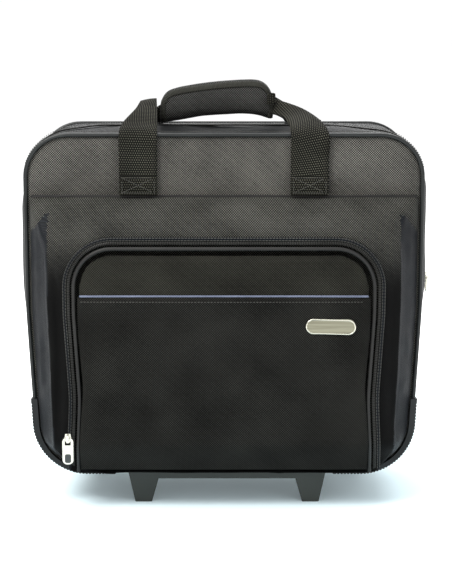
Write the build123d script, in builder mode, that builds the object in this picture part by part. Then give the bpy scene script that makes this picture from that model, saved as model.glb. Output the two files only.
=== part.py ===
from build123d import *
import math
import os

# Rolling laptop case. Front faces -Y, +Z is up, the floor is z = 0 and the origin lies under the
# middle of the bounding box. All sizes are in millimetres.

os.makedirs("parts", exist_ok=True)

# ---- driving dimensions ----------------------------------------------------------------------

# Case body: depth stations and front outline
FRONT_Y = -62.0
ZIP_Y = -12.0
BACK_Y = 82.0
PANEL_HALF_W = 196.4
PANEL_FOOT_HALF_W = 187.5
PANEL_TOP = 377.8
PANEL_BOTTOM = 37.7
KNEE_Z = 205.0
TOP_R = 40.0
KNEE_R = 260.0
FOOT_R = 50.0
SIDE_BULGE = 11.0
TOP_CROWN = 9.5
REAR_GROW = 4.0
REAR_TOP_RISE = 4.5
WALL = 3.0
FAR = 600.0
FIT_GAP = 0.15
LAYER_GAP = 0.05

# Lid split: the front of the body tips forward about its lower edge
HINGE_Z = 36.0
HINGE_FLAP_H = 14.0
SPLIT_Z = 215.0
SPLIT_GAP = 0.8

# Piping, zipper bands, corner guards
PIPING_R = 2.1
PIPING_GROW = 2.4
PIPING_Y = FRONT_Y - 1.3
BAND_W = 7.0
BAND_T = 1.2
BAND_GAP = 0.6
BAND_OUT = 0.7
GUARD_GROW = 5.8
GUARD_INNER_GROW = -0.6
GUARD_SIDE_Z = 112.0
GUARD_HALF_X = 112.0
GUARD_RIB_PITCH = 3.4
GUARD_RIB_DEPTH = 0.7
GUARD_BACK_Y = FRONT_Y + 3.4
GUARD_DEPTH = 9.4

# Front pocket and its flap
POCKET_TOP_HALF_W = 191.0
POCKET_FOOT_HALF_W = 171.0
POCKET_TOP = 318.5
POCKET_BOTTOM = 38.5
POCKET_FACE_Y = -100.0
POCKET_SHOULDER_Z = 284.0
POCKET_FOOT_R = 42.0
POCKET_WALL = 2.5
POCKET_HEAD_R = 6.0
FLAP_TOP = 268.5
FLAP_BOTTOM = 41.0
FLAP_FOOT_HALF_W = 145.0
FLAP_WAIST_HALF_W = 141.0
FLAP_HALF_W = 146.0
FLAP_WAIST_Z = 120.0
FLAP_SHOULDER_Z = 205.0
FLAP_R = 36.0
FLAP_WAIST_R = 200.0
FLAP_HEM_DROP = 0.4
FLAP_BACK_Y = -98.5
FLAP_T = 7.0
FLAP_OPENING_GROW = 5.2
ZIP_TAPE_GROW = 13.0
ZIP_TAPE_T = 1.0
FLAP_PIPING_GROW = 2.4
FLAP_PIPING_R = 2.0
FLAP_PIPING_Y = FLAP_BACK_Y - 4.4
SLIP_TOP_Z = 223.0
SLIP_T = 2.0
SLIP_INSET = 4.0
REFLECTIVE_R = 1.1
BADGE_W = 48.6
BADGE_H = 14.4
BADGE_T = 2.2
BADGE_X = 105.2
BADGE_Z = 194.3
BADGE_TILT = 1.6
BADGE_EDGE_R = 0.7

# Grab handle
WEBBING_W = 38.0
WEBBING_T = 2.4
STRAP_X = 85.5
STRAP_FOOT_Z = 319.5
STRAP_TOP_Z = 383.5
WRAP_LEFT = -67.5
WRAP_RIGHT = 51.0
WRAP_BOTTOM = 397.0
WRAP_TOP = 434.0
WRAP_FRONT_Y = -17.0
WRAP_BACK_Y = 7.0
LOOP_BOTTOM = 401.0
LOOP_TOP = 427.0
REAR_FOOT_Y = 44.0
REAR_FOOT_Z = 390.2
FRONT_LEG_Y = FRONT_Y - 4.8
REAR_LOOP_Y = WRAP_BACK_Y + 3.5
WRAP_MID_Y = (WRAP_FRONT_Y + WRAP_BACK_Y) / 2
WRAP_R = 9.0
FRONT_TAIL_Y = WRAP_MID_Y - 4.0
TAIL_GAP = 0.5
LOOP_INSET = 2.0
LOOP_LAP = 0.1

# Wheels, housings, stand
WHEEL_R = 32.0
WHEEL_W = 22.0
WHEEL_X = 140.0
WHEEL_Y = 77.0
HUB_R = 24.0
AXLE_R = 3.0
BEARING_R = 9.5
BEARING_W = 6.0
RUNNING_GAP = 0.05
PRESS_GAP = 0.02
HUB_INSET = 1.5
HUB_HOLE_R = 4.2
HUB_HOLE_CIRCLE_R = 16.0
HUB_HOLES = 5
TYRE_SHOULDER_R = 4.0
HOUSING_HALF_W = 23.0
HOUSING_WALL = 5.0
HOUSING_FRONT_Y = 34.0
HOUSING_TOP_Z = 76.0
HOUSING_R = 5.0
HOUSING_OUTLINE = [
    (HOUSING_FRONT_Y, HOUSING_TOP_Z), (HOUSING_FRONT_Y, PANEL_BOTTOM - 4.0), (60.0, 20.0), (92.0, 20.0),
    (100.0, 34.0), (BACK_Y + 14.0, 58.0), (BACK_Y + 2.5, HOUSING_TOP_Z),
]
STAND_X = 3.0
STAND_TOP_HALF = 103.5
STAND_FOOT_HALF = 95.5
STAND_INNER_FOOT_HALF = 78.0
STAND_INNER_HALF = 71.0
STAND_BAR_Z = 24.5
STAND_TOP_Z = 36.2
STAND_FRONT_Y = -56.0
STAND_BACK_Y = -32.0
STAND_EDGE_R = 1.6

# Trolley: nested rectangular tubes
TUBE_X = 72.0
TUBE_Y = 91.5
OUTER_TUBE = (20.0, 11.0)
MID_TUBE = (16.8, 7.8)
INNER_TUBE = (13.4, 5.0)
COLLAR = (23.0, 14.0)
COLLAR_H = 3.0
COLLAR_Z = 356.2
OUTER_WALL = 1.2
MID_WALL = 1.1
INNER_WALL = 0.9
TUBE_FOOT_Z = 52.0
OUTER_TOP_Z = 352.0
MID_TOP_Z = 356.0
INNER_TOP_Z = 362.0
COVER_BACK_Y = 104.0
COVER_HALF_W = 96.0
COVER_T = 2.5
BEZEL_SKIRT = 18.0
GRIP_BOTTOM_Z = 360.0
GRIP_TOP_Z = 383.0
GRIP_HALF_W = 84.0
GRIP_Y0 = 84.5
GRIP_Y1 = 102.0
GRIP_EDGE_R = 2.6
BUTTON_HALF_W = 14.0
BUTTON_DEPTH = 10.0
BUTTON_CLEARANCE = 0.5
GRIP_SCREW_X = 40.0
GRIP_SCREW_Z = GRIP_TOP_Z - 6.5
YOKE_Z0 = 367.5
YOKE_Z1 = 371.5
YOKE_DEPTH = 5.0
ROD_R = 1.1
ROD_FOOT_Z = TUBE_FOOT_Z + 14.0
ROD_SLOT_HALF_W = 3.0
FOOT_SCREW_X = 28.0
FOOT_SCREW_Z = TUBE_FOOT_Z + 3.0
TROLLEY_FOOT_BACK_Y = 100.0
TROLLEY_FOOT_H = 22.0
TUBE_CLEARANCE = 0.2

# Inside of the main compartment
SLEEVE_HALF_W = 180.0
SLEEVE_BOTTOM = 82.0
SLEEVE_TOP = 322.0
SLEEVE_Y = 44.0
SLEEVE_T = 5.0
CLOSURE_HALF_W = 19.0
CLOSURE_BOTTOM = 270.0
CLOSURE_TOP = 345.0
CLOSURE_T = 2.0
CLOSURE_Y = SLEEVE_Y - 2.2
DIVIDER_Y = 8.0
DIVIDER_T = 2.0
DIVIDER_BOTTOM = 68.0
DIVIDER_TOP = 290.0
DIVIDER_HALF_W = 172.0

# Zipper sliders
FRONT_SLIDER_X = -156.2
FRONT_SLIDER_Z = 80.0
SIDE_SLIDER_Z = 232.0
PULL_T = 1.4


# ---- shared outlines -------------------------------------------------------------------------


def front_plane(y):
    """Sketch plane that faces the front at depth y; it reads x across and z up."""
    return Plane.XZ.offset(-y)


def side_plane(x):
    """Sketch plane that faces +X at x; it reads y across and z up."""
    return Plane.YZ.offset(x)


def body_corners(grow, bulge=0.0, crown=0.0):
    """Corners and corner radii of the body's front outline, grown outwards by grow."""
    foot = PANEL_FOOT_HALF_W + grow
    half = PANEL_HALF_W + grow + bulge
    top = PANEL_TOP + grow + crown
    bottom = PANEL_BOTTOM - grow * 0.8
    corners = [(-foot, bottom), (foot, bottom), (half, KNEE_Z), (half, top), (-half, top), (-half, KNEE_Z)]
    radii = [FOOT_R + grow, FOOT_R + grow, KNEE_R, TOP_R + grow, TOP_R + grow, KNEE_R]
    return corners, radii


def body_face(y, grow, bulge=0.0, crown=0.0):
    """Face of the body outline at depth y."""
    corners, radii = body_corners(grow, bulge, crown)
    with BuildSketch(front_plane(y)) as sketch:
        with BuildLine():
            FilletPolyline(*corners, radius=radii, close=True)
        make_face()
    return sketch.sketch


def body_volume(inset=0.0):
    """Body of the case, widest at the zipper, with every side moved in by inset."""
    front = body_face(FRONT_Y + inset, -inset)
    middle = body_face(ZIP_Y, -inset, SIDE_BULGE, TOP_CROWN)
    rear = body_face(BACK_Y - inset, REAR_GROW - inset, 0.0, REAR_TOP_RISE)
    with BuildPart() as volume:
        loft(sections=[front, middle, rear], ruled=True)
    return volume.part


def side_profile(points):
    """Solid with the given (y, z) outline, as wide as the whole case."""
    with BuildPart() as prism:
        with BuildSketch(Plane.YZ):
            with BuildLine():
                Polyline(*points, close=True)
            make_face()
        extrude(amount=FAR, both=True)
    return prism.part


def lid_region(gap):
    """Space that tips forward with the front of the case, moved forward by gap."""
    inner_y = FRONT_Y + WALL + SPLIT_GAP - gap
    return side_profile([
        (-FAR, -FAR),
        (inner_y, -FAR),
        (inner_y, HINGE_Z + HINGE_FLAP_H),
        (ZIP_Y - gap, SPLIT_Z),
        (ZIP_Y - gap, FAR),
        (-FAR, FAR),
    ])


def export(item, name):
    """Name a finished piece and write it."""
    item.part.label = name
    export_step(item.part, "parts/" + name + ".step")


def box_between(low, high, radius=0.0):
    """Plain block between two corners, with its upright edges rounded."""
    size = [b - a for a, b in zip(low, high)]
    centre = [(a + b) / 2 for a, b in zip(low, high)]
    with BuildPart() as block:
        with Locations(tuple(centre)):
            Box(*size)
        if radius:
            fillet(block.edges().filter_by(Axis.Z), radius)
    return block.part


def rod_x(x0, x1, y, z, radius):
    """Round rod along X."""
    with BuildPart() as rod:
        with BuildSketch(side_plane(x0)):
            with Locations((y, z)):
                Circle(radius)
        extrude(amount=x1 - x0)
    return rod.part


# ---- case body: rear shell, lid shell, piping and main zipper ----------------------------------

body = body_volume()
cavity = body_volume(WALL)
SIDES = (-1, 1)


def well_block(side, grow):
    """Block that a wheel housing fills in a rear bottom corner of the body."""
    centre = side * WHEEL_X
    return box_between(
        (centre - HOUSING_HALF_W - grow, HOUSING_FRONT_Y - grow, 0.0),
        (centre + HOUSING_HALF_W + grow, BACK_Y + 40.0, HOUSING_TOP_Z + grow),
    )


def zipper_band(y0, y1, out):
    """Hoop that follows the body's widest outline between two depths, above the split."""
    with BuildPart() as band:
        extrude(body_face(y1, out, SIDE_BULGE, TOP_CROWN), amount=y1 - y0)
        extrude(body_face(y1, out - BAND_T, SIDE_BULGE, TOP_CROWN), amount=y1 - y0, mode=Mode.SUBTRACT)
        add(box_between((-FAR, y0, SPLIT_Z + 2.0), (FAR, y1, FAR)), mode=Mode.INTERSECT)
    return band.part


rear_band = zipper_band(ZIP_Y + BAND_GAP, ZIP_Y + BAND_W, BAND_OUT)
front_band = zipper_band(ZIP_Y - BAND_W, ZIP_Y - BAND_GAP, BAND_OUT)

with BuildPart() as rear_shell:
    add(body)
    add(cavity, mode=Mode.SUBTRACT)
    add(lid_region(0.0), mode=Mode.SUBTRACT)
    for side in SIDES:
        add(well_block(side, 0.3), mode=Mode.SUBTRACT)
    add(rear_band, mode=Mode.SUBTRACT)
export(rear_shell, "rear_shell")

with BuildPart() as main_zipper_rear:
    add(rear_band)
export(main_zipper_rear, "main_zipper_rear")

with BuildPart() as front_shell:
    add(body)
    add(cavity, mode=Mode.SUBTRACT)
    add(lid_region(SPLIT_GAP), mode=Mode.INTERSECT)
    add(front_band, mode=Mode.SUBTRACT)
export(front_shell, "front_shell")

with BuildPart() as main_zipper_front:
    add(front_band)
export(main_zipper_front, "main_zipper_front")


def piping_ring(y, grow, radius, crown=0.0):
    """Round cord that runs all the way round the body outline."""
    corners, radii = body_corners(grow, 0.0, crown)
    with BuildPart() as ring:
        with BuildLine(front_plane(y)) as path:
            FilletPolyline(*corners, radius=radii, close=True)
        with BuildSketch(Plane(origin=path.line @ 0, z_dir=path.line % 0)):
            Circle(radius)
        sweep(path=path.line)
    return ring.part


with BuildPart() as front_piping:
    add(piping_ring(PIPING_Y, PIPING_GROW, PIPING_R))
export(front_piping, "front_piping")

with BuildPart() as rear_piping:
    add(piping_ring(BACK_Y + PIPING_R + 0.1, REAR_GROW, PIPING_R, REAR_TOP_RISE))
    for side in SIDES:
        add(well_block(side, 0.3), mode=Mode.SUBTRACT)
export(rear_piping, "rear_piping")


def guard_ribs(side):
    """Grooves between the ribs of one corner guard, evenly spaced along its curve."""
    corners, radii = body_corners(GUARD_GROW)
    with BuildLine(front_plane(FRONT_Y)) as line:
        FilletPolyline(*corners, radius=radii, close=True)
    path = line.wires()[0]
    count = int(path.length / GUARD_RIB_PITCH)
    grooves = []
    for index in range(count):
        spot = path.position_at(index / count)
        if side * spot.X < GUARD_HALF_X + 3.0 or spot.Z > GUARD_SIDE_Z - 3.0:
            continue
        along = path.tangent_at(index / count)
        frame = Plane(origin=spot, x_dir=along, z_dir=(0, -1, 0))
        with BuildPart() as groove:
            with BuildSketch(frame.offset(-14.0)):
                Rectangle(GUARD_RIB_PITCH * 0.4, GUARD_RIB_DEPTH * 2)
            extrude(amount=28.0)
        grooves.append(groove.part)
    return grooves


for side, name in zip(SIDES, ("corner_guard_left", "corner_guard_right")):
    with BuildPart() as corner_guard:
        extrude(body_face(GUARD_BACK_Y, GUARD_GROW), amount=GUARD_DEPTH)
        extrude(body_face(GUARD_BACK_Y, GUARD_INNER_GROW), amount=GUARD_DEPTH, mode=Mode.SUBTRACT)
        low = (min(side * GUARD_HALF_X, side * FAR), FRONT_Y - 20.0, 0.0)
        high = (max(side * GUARD_HALF_X, side * FAR), FRONT_Y + 20.0, GUARD_SIDE_Z)
        add(box_between(low, high), mode=Mode.INTERSECT)
        add(body, mode=Mode.SUBTRACT)
        add(piping_ring(PIPING_Y, PIPING_GROW, PIPING_R + FIT_GAP), mode=Mode.SUBTRACT)
        for groove in guard_ribs(side):
            add(groove, mode=Mode.SUBTRACT)
    export(corner_guard, name)

# ---- front pocket and flap -----------------------------------------------------------------------


def pocket_face(y, grow):
    """Front outline of the pocket at depth y."""
    foot = POCKET_FOOT_HALF_W + grow
    half = POCKET_TOP_HALF_W + grow
    bottom = POCKET_BOTTOM - grow
    top = POCKET_TOP + grow
    corners = [(-foot, bottom), (foot, bottom), (half, top), (-half, top)]
    with BuildSketch(front_plane(y)) as sketch:
        with BuildLine():
            radii = [POCKET_FOOT_R, POCKET_FOOT_R, POCKET_HEAD_R, POCKET_HEAD_R]
            FilletPolyline(*corners, radius=radii, close=True)
        make_face()
    return sketch.sketch


def flap_corners(grow):
    """Corners and radii of the flap outline, grown by grow at the sides and top."""
    foot = FLAP_FOOT_HALF_W + grow
    waist = FLAP_WAIST_HALF_W + grow
    half = FLAP_HALF_W + grow
    top = FLAP_TOP + grow
    corners = [
        (-foot, FLAP_BOTTOM), (-waist, FLAP_WAIST_Z), (-half, FLAP_SHOULDER_Z), (-half, top),
        (half, top), (half, FLAP_SHOULDER_Z), (waist, FLAP_WAIST_Z), (foot, FLAP_BOTTOM),
    ]
    shoulder_r = FLAP_R + grow
    radii = [FLAP_WAIST_R, FLAP_WAIST_R, shoulder_r, shoulder_r, FLAP_WAIST_R, FLAP_WAIST_R]
    return corners, radii


def flap_face(y, grow, drop=0.0):
    """Face of the flap outline at depth y, its lower edge moved down by drop."""
    corners, radii = flap_corners(grow)
    with BuildSketch(front_plane(y)) as sketch:
        with BuildLine():
            arch = FilletPolyline(*corners, radius=radii)
            if drop:
                right = (corners[-1][0], FLAP_BOTTOM - drop)
                left = (corners[0][0], FLAP_BOTTOM - drop)
                Polyline(arch @ 1, right, left, arch @ 0)
            else:
                Line(arch @ 1, arch @ 0)
        make_face()
    return sketch.sketch


def flap_cord(y, grow, radius):
    """Round cord along the sides and top of the flap."""
    corners, radii = flap_corners(grow)
    with BuildPart() as cord:
        with BuildLine(front_plane(y)) as path:
            FilletPolyline(*corners, radius=radii)
        with BuildSketch(Plane(origin=path.line @ 0, z_dir=path.line % 0)):
            Circle(radius)
        sweep(path=path.line)
    return cord.part


def pocket_volume(inset):
    """Pocket with its sloping shoulder, with each side moved in by inset."""
    face_y = POCKET_FACE_Y + inset
    with BuildPart() as volume:
        extrude(pocket_face(FRONT_Y, -inset), amount=FRONT_Y - face_y)
        shoulder = side_profile([
            (FRONT_Y, POCKET_BOTTOM - 1.0),
            (face_y, POCKET_BOTTOM - 1.0),
            (face_y, POCKET_SHOULDER_Z - inset),
            (FRONT_Y - 5.0 + inset, POCKET_TOP - inset),
            (FRONT_Y, POCKET_TOP - inset),
        ])
        add(shoulder, mode=Mode.INTERSECT)
    return volume.part


with BuildPart() as front_pocket:
    add(pocket_volume(0.0))
    add(pocket_volume(POCKET_WALL), mode=Mode.SUBTRACT)
    extrude(flap_face(FRONT_Y - 20.0, FLAP_OPENING_GROW, drop=FLAP_HEM_DROP), amount=40.0, mode=Mode.SUBTRACT)
export(front_pocket, "front_pocket")

with BuildPart() as pocket_zipper:
    extrude(flap_face(POCKET_FACE_Y - LAYER_GAP, ZIP_TAPE_GROW), amount=ZIP_TAPE_T)
    opening = flap_face(POCKET_FACE_Y - LAYER_GAP, FLAP_OPENING_GROW)
    extrude(opening, amount=ZIP_TAPE_T, mode=Mode.SUBTRACT)
export(pocket_zipper, "pocket_zipper")

with BuildPart() as flap_panel:
    extrude(flap_face(FLAP_BACK_Y, 0.0), amount=FLAP_T)
export(flap_panel, "flap_panel")

with BuildPart() as flap_piping:
    add(flap_cord(FLAP_PIPING_Y, FLAP_PIPING_GROW, FLAP_PIPING_R))
    add(box_between((-FAR, -FAR, FLAP_BOTTOM), (FAR, 0.0, FAR)), mode=Mode.INTERSECT)
export(flap_piping, "flap_piping")

FLAP_FRONT_Y = FLAP_BACK_Y - FLAP_T
with BuildPart() as slip_pocket:
    extrude(flap_face(FLAP_FRONT_Y - LAYER_GAP, -SLIP_INSET), amount=SLIP_T)
    add(box_between((-FAR, -FAR, FLAP_BOTTOM + SLIP_INSET), (FAR, 0.0, SLIP_TOP_Z)), mode=Mode.INTERSECT)
export(slip_pocket, "slip_pocket")

with BuildPart() as reflective_piping:
    add(rod_x(SLIP_INSET - FLAP_HALF_W, FLAP_HALF_W - SLIP_INSET, FLAP_FRONT_Y - REFLECTIVE_R - FIT_GAP,
              SLIP_TOP_Z + REFLECTIVE_R + FIT_GAP, REFLECTIVE_R))
export(reflective_piping, "reflective_piping")

BADGE_BACK_Y = FLAP_FRONT_Y - SLIP_T - FIT_GAP
with BuildPart() as badge:
    with BuildSketch(front_plane(BADGE_BACK_Y)):
        with Locations(Location((BADGE_X, BADGE_Z, 0), (0, 0, BADGE_TILT))):
            SlotOverall(BADGE_W, BADGE_H)
    extrude(amount=BADGE_T)
    front_rim = badge.faces().sort_by(Axis.Y)[0].edges()
    fillet(front_rim, BADGE_EDGE_R)
export(badge, "badge")

ORGANIZER_HALF_W = 140.0
ORGANIZER_BACK_Y = FRONT_Y - 2.0
ORGANIZER_FRONT_Y = FRONT_Y - 4.0
with BuildPart() as organizer_panel:
    organizer_low = (-ORGANIZER_HALF_W, ORGANIZER_FRONT_Y, 60.0)
    organizer_high = (ORGANIZER_HALF_W, ORGANIZER_BACK_Y, 250.0)
    add(box_between(organizer_low, organizer_high))
export(organizer_panel, "organizer_panel")

CARD_COUNT = 3
CARD_W = 62.0
CARD_GAP = 6.0
CARD_LEFT = -126.0
CARD_BOTTOM = 90.0
CARD_TOP = 180.0
CARD_T = 2.1
CARD_BACK_Y = ORGANIZER_FRONT_Y - 0.1
with BuildPart() as card_pockets:
    for index in range(CARD_COUNT):
        x0 = CARD_LEFT + index * (CARD_W + CARD_GAP)
        add(box_between((x0, CARD_BACK_Y - CARD_T, CARD_BOTTOM), (x0 + CARD_W, CARD_BACK_Y, CARD_TOP)))
export(card_pockets, "card_pockets")

PEN_COUNT = 3
PEN_R = 7.0
PEN_X = 92.0
PEN_PITCH = 16.0
PEN_BOTTOM = 170.0
PEN_TOP = 190.0
ELASTIC_T = 1.2
with BuildPart() as pen_loops:
    for index in range(PEN_COUNT):
        x0 = PEN_X + index * PEN_PITCH
        front_y = CARD_BACK_Y - 2 * PEN_R
        add(box_between((x0 - PEN_R, front_y, PEN_BOTTOM), (x0 + PEN_R, CARD_BACK_Y, PEN_TOP)))
        hole_low = (x0 - PEN_R + ELASTIC_T, front_y + ELASTIC_T, 0.0)
        hole_high = (x0 + PEN_R - ELASTIC_T, CARD_BACK_Y - ELASTIC_T, FAR)
        add(box_between(hole_low, hole_high), mode=Mode.SUBTRACT)
export(pen_loops, "pen_loops")

# ---- inside of the main compartment ---------------------------------------------------------------

BOARD_HALF_W = 138.0
BOARD_FRONT_Y = -40.0
BOARD_Z0 = 42.0
BOARD_Z1 = 45.0
BOARD_R = 12.0
BOARD_TONGUE_HALF_W = WHEEL_X - HOUSING_HALF_W - 2.0
INNER_BACK_Y = BACK_Y - 8.0
with BuildPart() as base_board:
    add(box_between((-BOARD_HALF_W, BOARD_FRONT_Y, BOARD_Z0),
                    (BOARD_HALF_W, HOUSING_FRONT_Y - 1.5, BOARD_Z1), BOARD_R))
    add(box_between((-BOARD_TONGUE_HALF_W, 0.0, BOARD_Z0), (BOARD_TONGUE_HALF_W, INNER_BACK_Y, BOARD_Z1)))
export(base_board, "base_board")

BACK_BOARD_INSET = 10.0
BACK_BOARD_T = 2.0
with BuildPart() as back_board:
    extrude(body_face(BACK_Y - WALL - 0.2, -BACK_BOARD_INSET), amount=BACK_BOARD_T)
    add(box_between((-FAR, 0.0, HOUSING_TOP_Z + 6.0), (FAR, FAR, FAR)), mode=Mode.INTERSECT)
export(back_board, "back_board")

with BuildPart() as laptop_sleeve:
    sleeve_low = (-SLEEVE_HALF_W, SLEEVE_Y, SLEEVE_BOTTOM)
    add(box_between(sleeve_low, (SLEEVE_HALF_W, SLEEVE_Y + SLEEVE_T, SLEEVE_TOP)))
    add(box_between(sleeve_low, (SLEEVE_HALF_W, INNER_BACK_Y, SLEEVE_BOTTOM + SLEEVE_T)))
export(laptop_sleeve, "laptop_sleeve")

with BuildPart() as laptop_strap:
    add(box_between((-CLOSURE_HALF_W, CLOSURE_Y, CLOSURE_BOTTOM),
                    (CLOSURE_HALF_W, CLOSURE_Y + CLOSURE_T, CLOSURE_TOP)))
    add(box_between((-CLOSURE_HALF_W, CLOSURE_Y, CLOSURE_TOP - CLOSURE_T),
                    (CLOSURE_HALF_W, BACK_Y - 6.0, CLOSURE_TOP)))
export(laptop_strap, "laptop_strap")

with BuildPart() as file_divider:
    add(box_between((-DIVIDER_HALF_W, DIVIDER_Y, DIVIDER_BOTTOM),
                    (DIVIDER_HALF_W, DIVIDER_Y + DIVIDER_T, DIVIDER_TOP)))
export(file_divider, "file_divider")

# ---- grab handle --------------------------------------------------------------------------------

def strap_turn(side, foot_y, foot_z, loop_y, loop_x):
    """Webbing that turns from upright at its foot to the horizontal loop inside the grip wrap."""
    with BuildPart() as turn:
        with BuildSketch(Plane.XY.offset(foot_z)):
            with Locations((STRAP_X, foot_y)):
                Rectangle(WEBBING_W, WEBBING_T)
        with BuildSketch(Plane.YZ.offset(abs(loop_x))):
            with Locations((loop_y, (LOOP_BOTTOM + LOOP_TOP) / 2)):
                Rectangle(WEBBING_T, LOOP_TOP - LOOP_BOTTOM)
        loft(ruled=True)
        if side < 0:
            mirror(about=Plane.YZ, mode=Mode.REPLACE)
    return turn.part


with BuildPart() as front_strap:
    for side, loop_x in ((-1, WRAP_LEFT - TAIL_GAP), (1, WRAP_RIGHT + TAIL_GAP)):
        centre = side * STRAP_X
        add(box_between((centre - WEBBING_W / 2, FRONT_LEG_Y - WEBBING_T / 2, STRAP_FOOT_Z),
                        (centre + WEBBING_W / 2, FRONT_LEG_Y + WEBBING_T / 2, STRAP_TOP_Z)))
        add(strap_turn(side, FRONT_LEG_Y, STRAP_TOP_Z, FRONT_TAIL_Y, loop_x))
export(front_strap, "front_strap")

with BuildPart() as rear_strap:
    for side, loop_x in ((-1, WRAP_LEFT + LOOP_INSET), (1, WRAP_RIGHT - LOOP_INSET)):
        centre = side * STRAP_X
        add(box_between((centre - WEBBING_W / 2, REAR_FOOT_Y - WEBBING_T / 2, REAR_FOOT_Z - WEBBING_T),
                        (centre + WEBBING_W / 2, INNER_BACK_Y, REAR_FOOT_Z)))
        add(strap_turn(side, REAR_FOOT_Y, REAR_FOOT_Z, REAR_LOOP_Y, loop_x))
    add(box_between((WRAP_LEFT + LOOP_INSET - LOOP_LAP, REAR_LOOP_Y - WEBBING_T / 2, LOOP_BOTTOM),
                    (WRAP_RIGHT - LOOP_INSET + LOOP_LAP, REAR_LOOP_Y + WEBBING_T / 2, LOOP_TOP)))
export(rear_strap, "rear_strap")

with BuildPart() as handle_wrap:
    with BuildSketch(side_plane(WRAP_LEFT)):
        with Locations((WRAP_MID_Y, (WRAP_BOTTOM + WRAP_TOP) / 2)):
            RectangleRounded(WRAP_BACK_Y - WRAP_FRONT_Y, WRAP_TOP - WRAP_BOTTOM, WRAP_R)
    extrude(amount=WRAP_RIGHT - WRAP_LEFT)
export(handle_wrap, "handle_wrap")

# ---- front stand ----------------------------------------------------------------------------------

with BuildPart() as front_stand:
    with BuildSketch(front_plane(STAND_BACK_Y)):
        with BuildLine():
            Polyline(
                (STAND_X - STAND_TOP_HALF, STAND_TOP_Z), (STAND_X - STAND_FOOT_HALF, 0.0),
                (STAND_X - STAND_INNER_FOOT_HALF, 0.0), (STAND_X - STAND_INNER_HALF, STAND_BAR_Z),
                (STAND_X + STAND_INNER_HALF, STAND_BAR_Z), (STAND_X + STAND_INNER_FOOT_HALF, 0.0),
                (STAND_X + STAND_FOOT_HALF, 0.0), (STAND_X + STAND_TOP_HALF, STAND_TOP_Z),
                close=True,
            )
        make_face()
    extrude(amount=STAND_BACK_Y - STAND_FRONT_Y)
    front_edges = front_stand.edges().filter_by(Axis.Z, reverse=True).group_by(Axis.Y)[0]
    fillet(front_edges.filter_by_position(Axis.Z, 1.0, STAND_TOP_Z - 1.0), STAND_EDGE_R)
    add(body, mode=Mode.SUBTRACT)
export(front_stand, "front_stand")

# ---- wheels, bearings, axles and housings -----------------------------------------------------------

for side, tag in zip(SIDES, ("left", "right")):
    centre = side * WHEEL_X
    x0 = centre - HOUSING_HALF_W
    x1 = centre + HOUSING_HALF_W
    with BuildPart() as housing:
        with BuildSketch(side_plane(x0)):
            with BuildLine():
                FilletPolyline(
                    *HOUSING_OUTLINE, radius=HOUSING_R, close=True,
                )
            make_face()
        extrude(amount=x1 - x0)
        add(box_between((x0 + HOUSING_WALL, HOUSING_FRONT_Y + HOUSING_WALL, -1.0),
                        (x1 - HOUSING_WALL, FAR, HOUSING_TOP_Z - HOUSING_WALL)), mode=Mode.SUBTRACT)
        add(rod_x(x0 - 1.0, x1 + 1.0, WHEEL_Y, WHEEL_R, AXLE_R), mode=Mode.SUBTRACT)
    export(housing, "wheel_housing_" + tag)

    with BuildPart() as axle:
        add(rod_x(x0 + 0.2, x1 - 0.2, WHEEL_Y, WHEEL_R, AXLE_R - PRESS_GAP))
        chamfer(axle.edges().filter_by(GeomType.CIRCLE), 0.5)
    export(axle, "axle_" + tag)

    with BuildPart() as tyre:
        with BuildSketch(side_plane(centre - WHEEL_W / 2)):
            with Locations((WHEEL_Y, WHEEL_R)):
                Circle(WHEEL_R)
                Circle(HUB_R, mode=Mode.SUBTRACT)
        extrude(amount=WHEEL_W)
        rims = tyre.edges().filter_by(GeomType.CIRCLE).sort_by(SortBy.LENGTH)[2:]
        fillet(rims, TYRE_SHOULDER_R)
    export(tyre, "tyre_" + tag)

    with BuildPart() as hub:
        with BuildSketch(side_plane(centre - WHEEL_W / 2 + HUB_INSET)):
            with Locations((WHEEL_Y, WHEEL_R)):
                Circle(HUB_R - PRESS_GAP)
                Circle(AXLE_R + 2.0, mode=Mode.SUBTRACT)
                with PolarLocations(HUB_HOLE_CIRCLE_R, HUB_HOLES):
                    Circle(HUB_HOLE_R, mode=Mode.SUBTRACT)
        extrude(amount=WHEEL_W - 2 * HUB_INSET)
        for x in (centre - WHEEL_W / 2 + HUB_INSET - 0.1, centre + WHEEL_W / 2 - HUB_INSET + 0.1 - BEARING_W):
            add(rod_x(x, x + BEARING_W, WHEEL_Y, WHEEL_R, BEARING_R), mode=Mode.SUBTRACT)
    export(hub, "hub_" + tag)

    with BuildPart() as bearings:
        for x in (centre - WHEEL_W / 2 + HUB_INSET, centre + WHEEL_W / 2 - HUB_INSET + 0.2 - BEARING_W):
            with BuildSketch(side_plane(x)):
                with Locations((WHEEL_Y, WHEEL_R)):
                    Circle(BEARING_R - PRESS_GAP)
                    Circle(AXLE_R + RUNNING_GAP, mode=Mode.SUBTRACT)
            extrude(amount=BEARING_W - 0.2)
    export(bearings, "bearings_" + tag)

# ---- trolley --------------------------------------------------------------------------------------


def tube(x, size, wall, z0, z1):
    """Upright rectangular tube with rounded corners."""
    with BuildPart() as pipe:
        with BuildSketch(Plane.XY.offset(z0)):
            with Locations((x, TUBE_Y)):
                RectangleRounded(size[0], size[1], 2.0)
                RectangleRounded(size[0] - 2 * wall, size[1] - 2 * wall, 1.0, mode=Mode.SUBTRACT)
        extrude(amount=z1 - z0)
    return pipe.part


def tube_block(side, size, grow, z0, z1, radius=0.0):
    """Block centred on one tube; size is (width, depth) and grow widens it on every side."""
    half_w = size[0] / 2 + grow
    half_d = size[1] / 2 + grow
    centre = side * TUBE_X
    return box_between((centre - half_w, TUBE_Y - half_d, z0), (centre + half_w, TUBE_Y + half_d, z1), radius)


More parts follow.
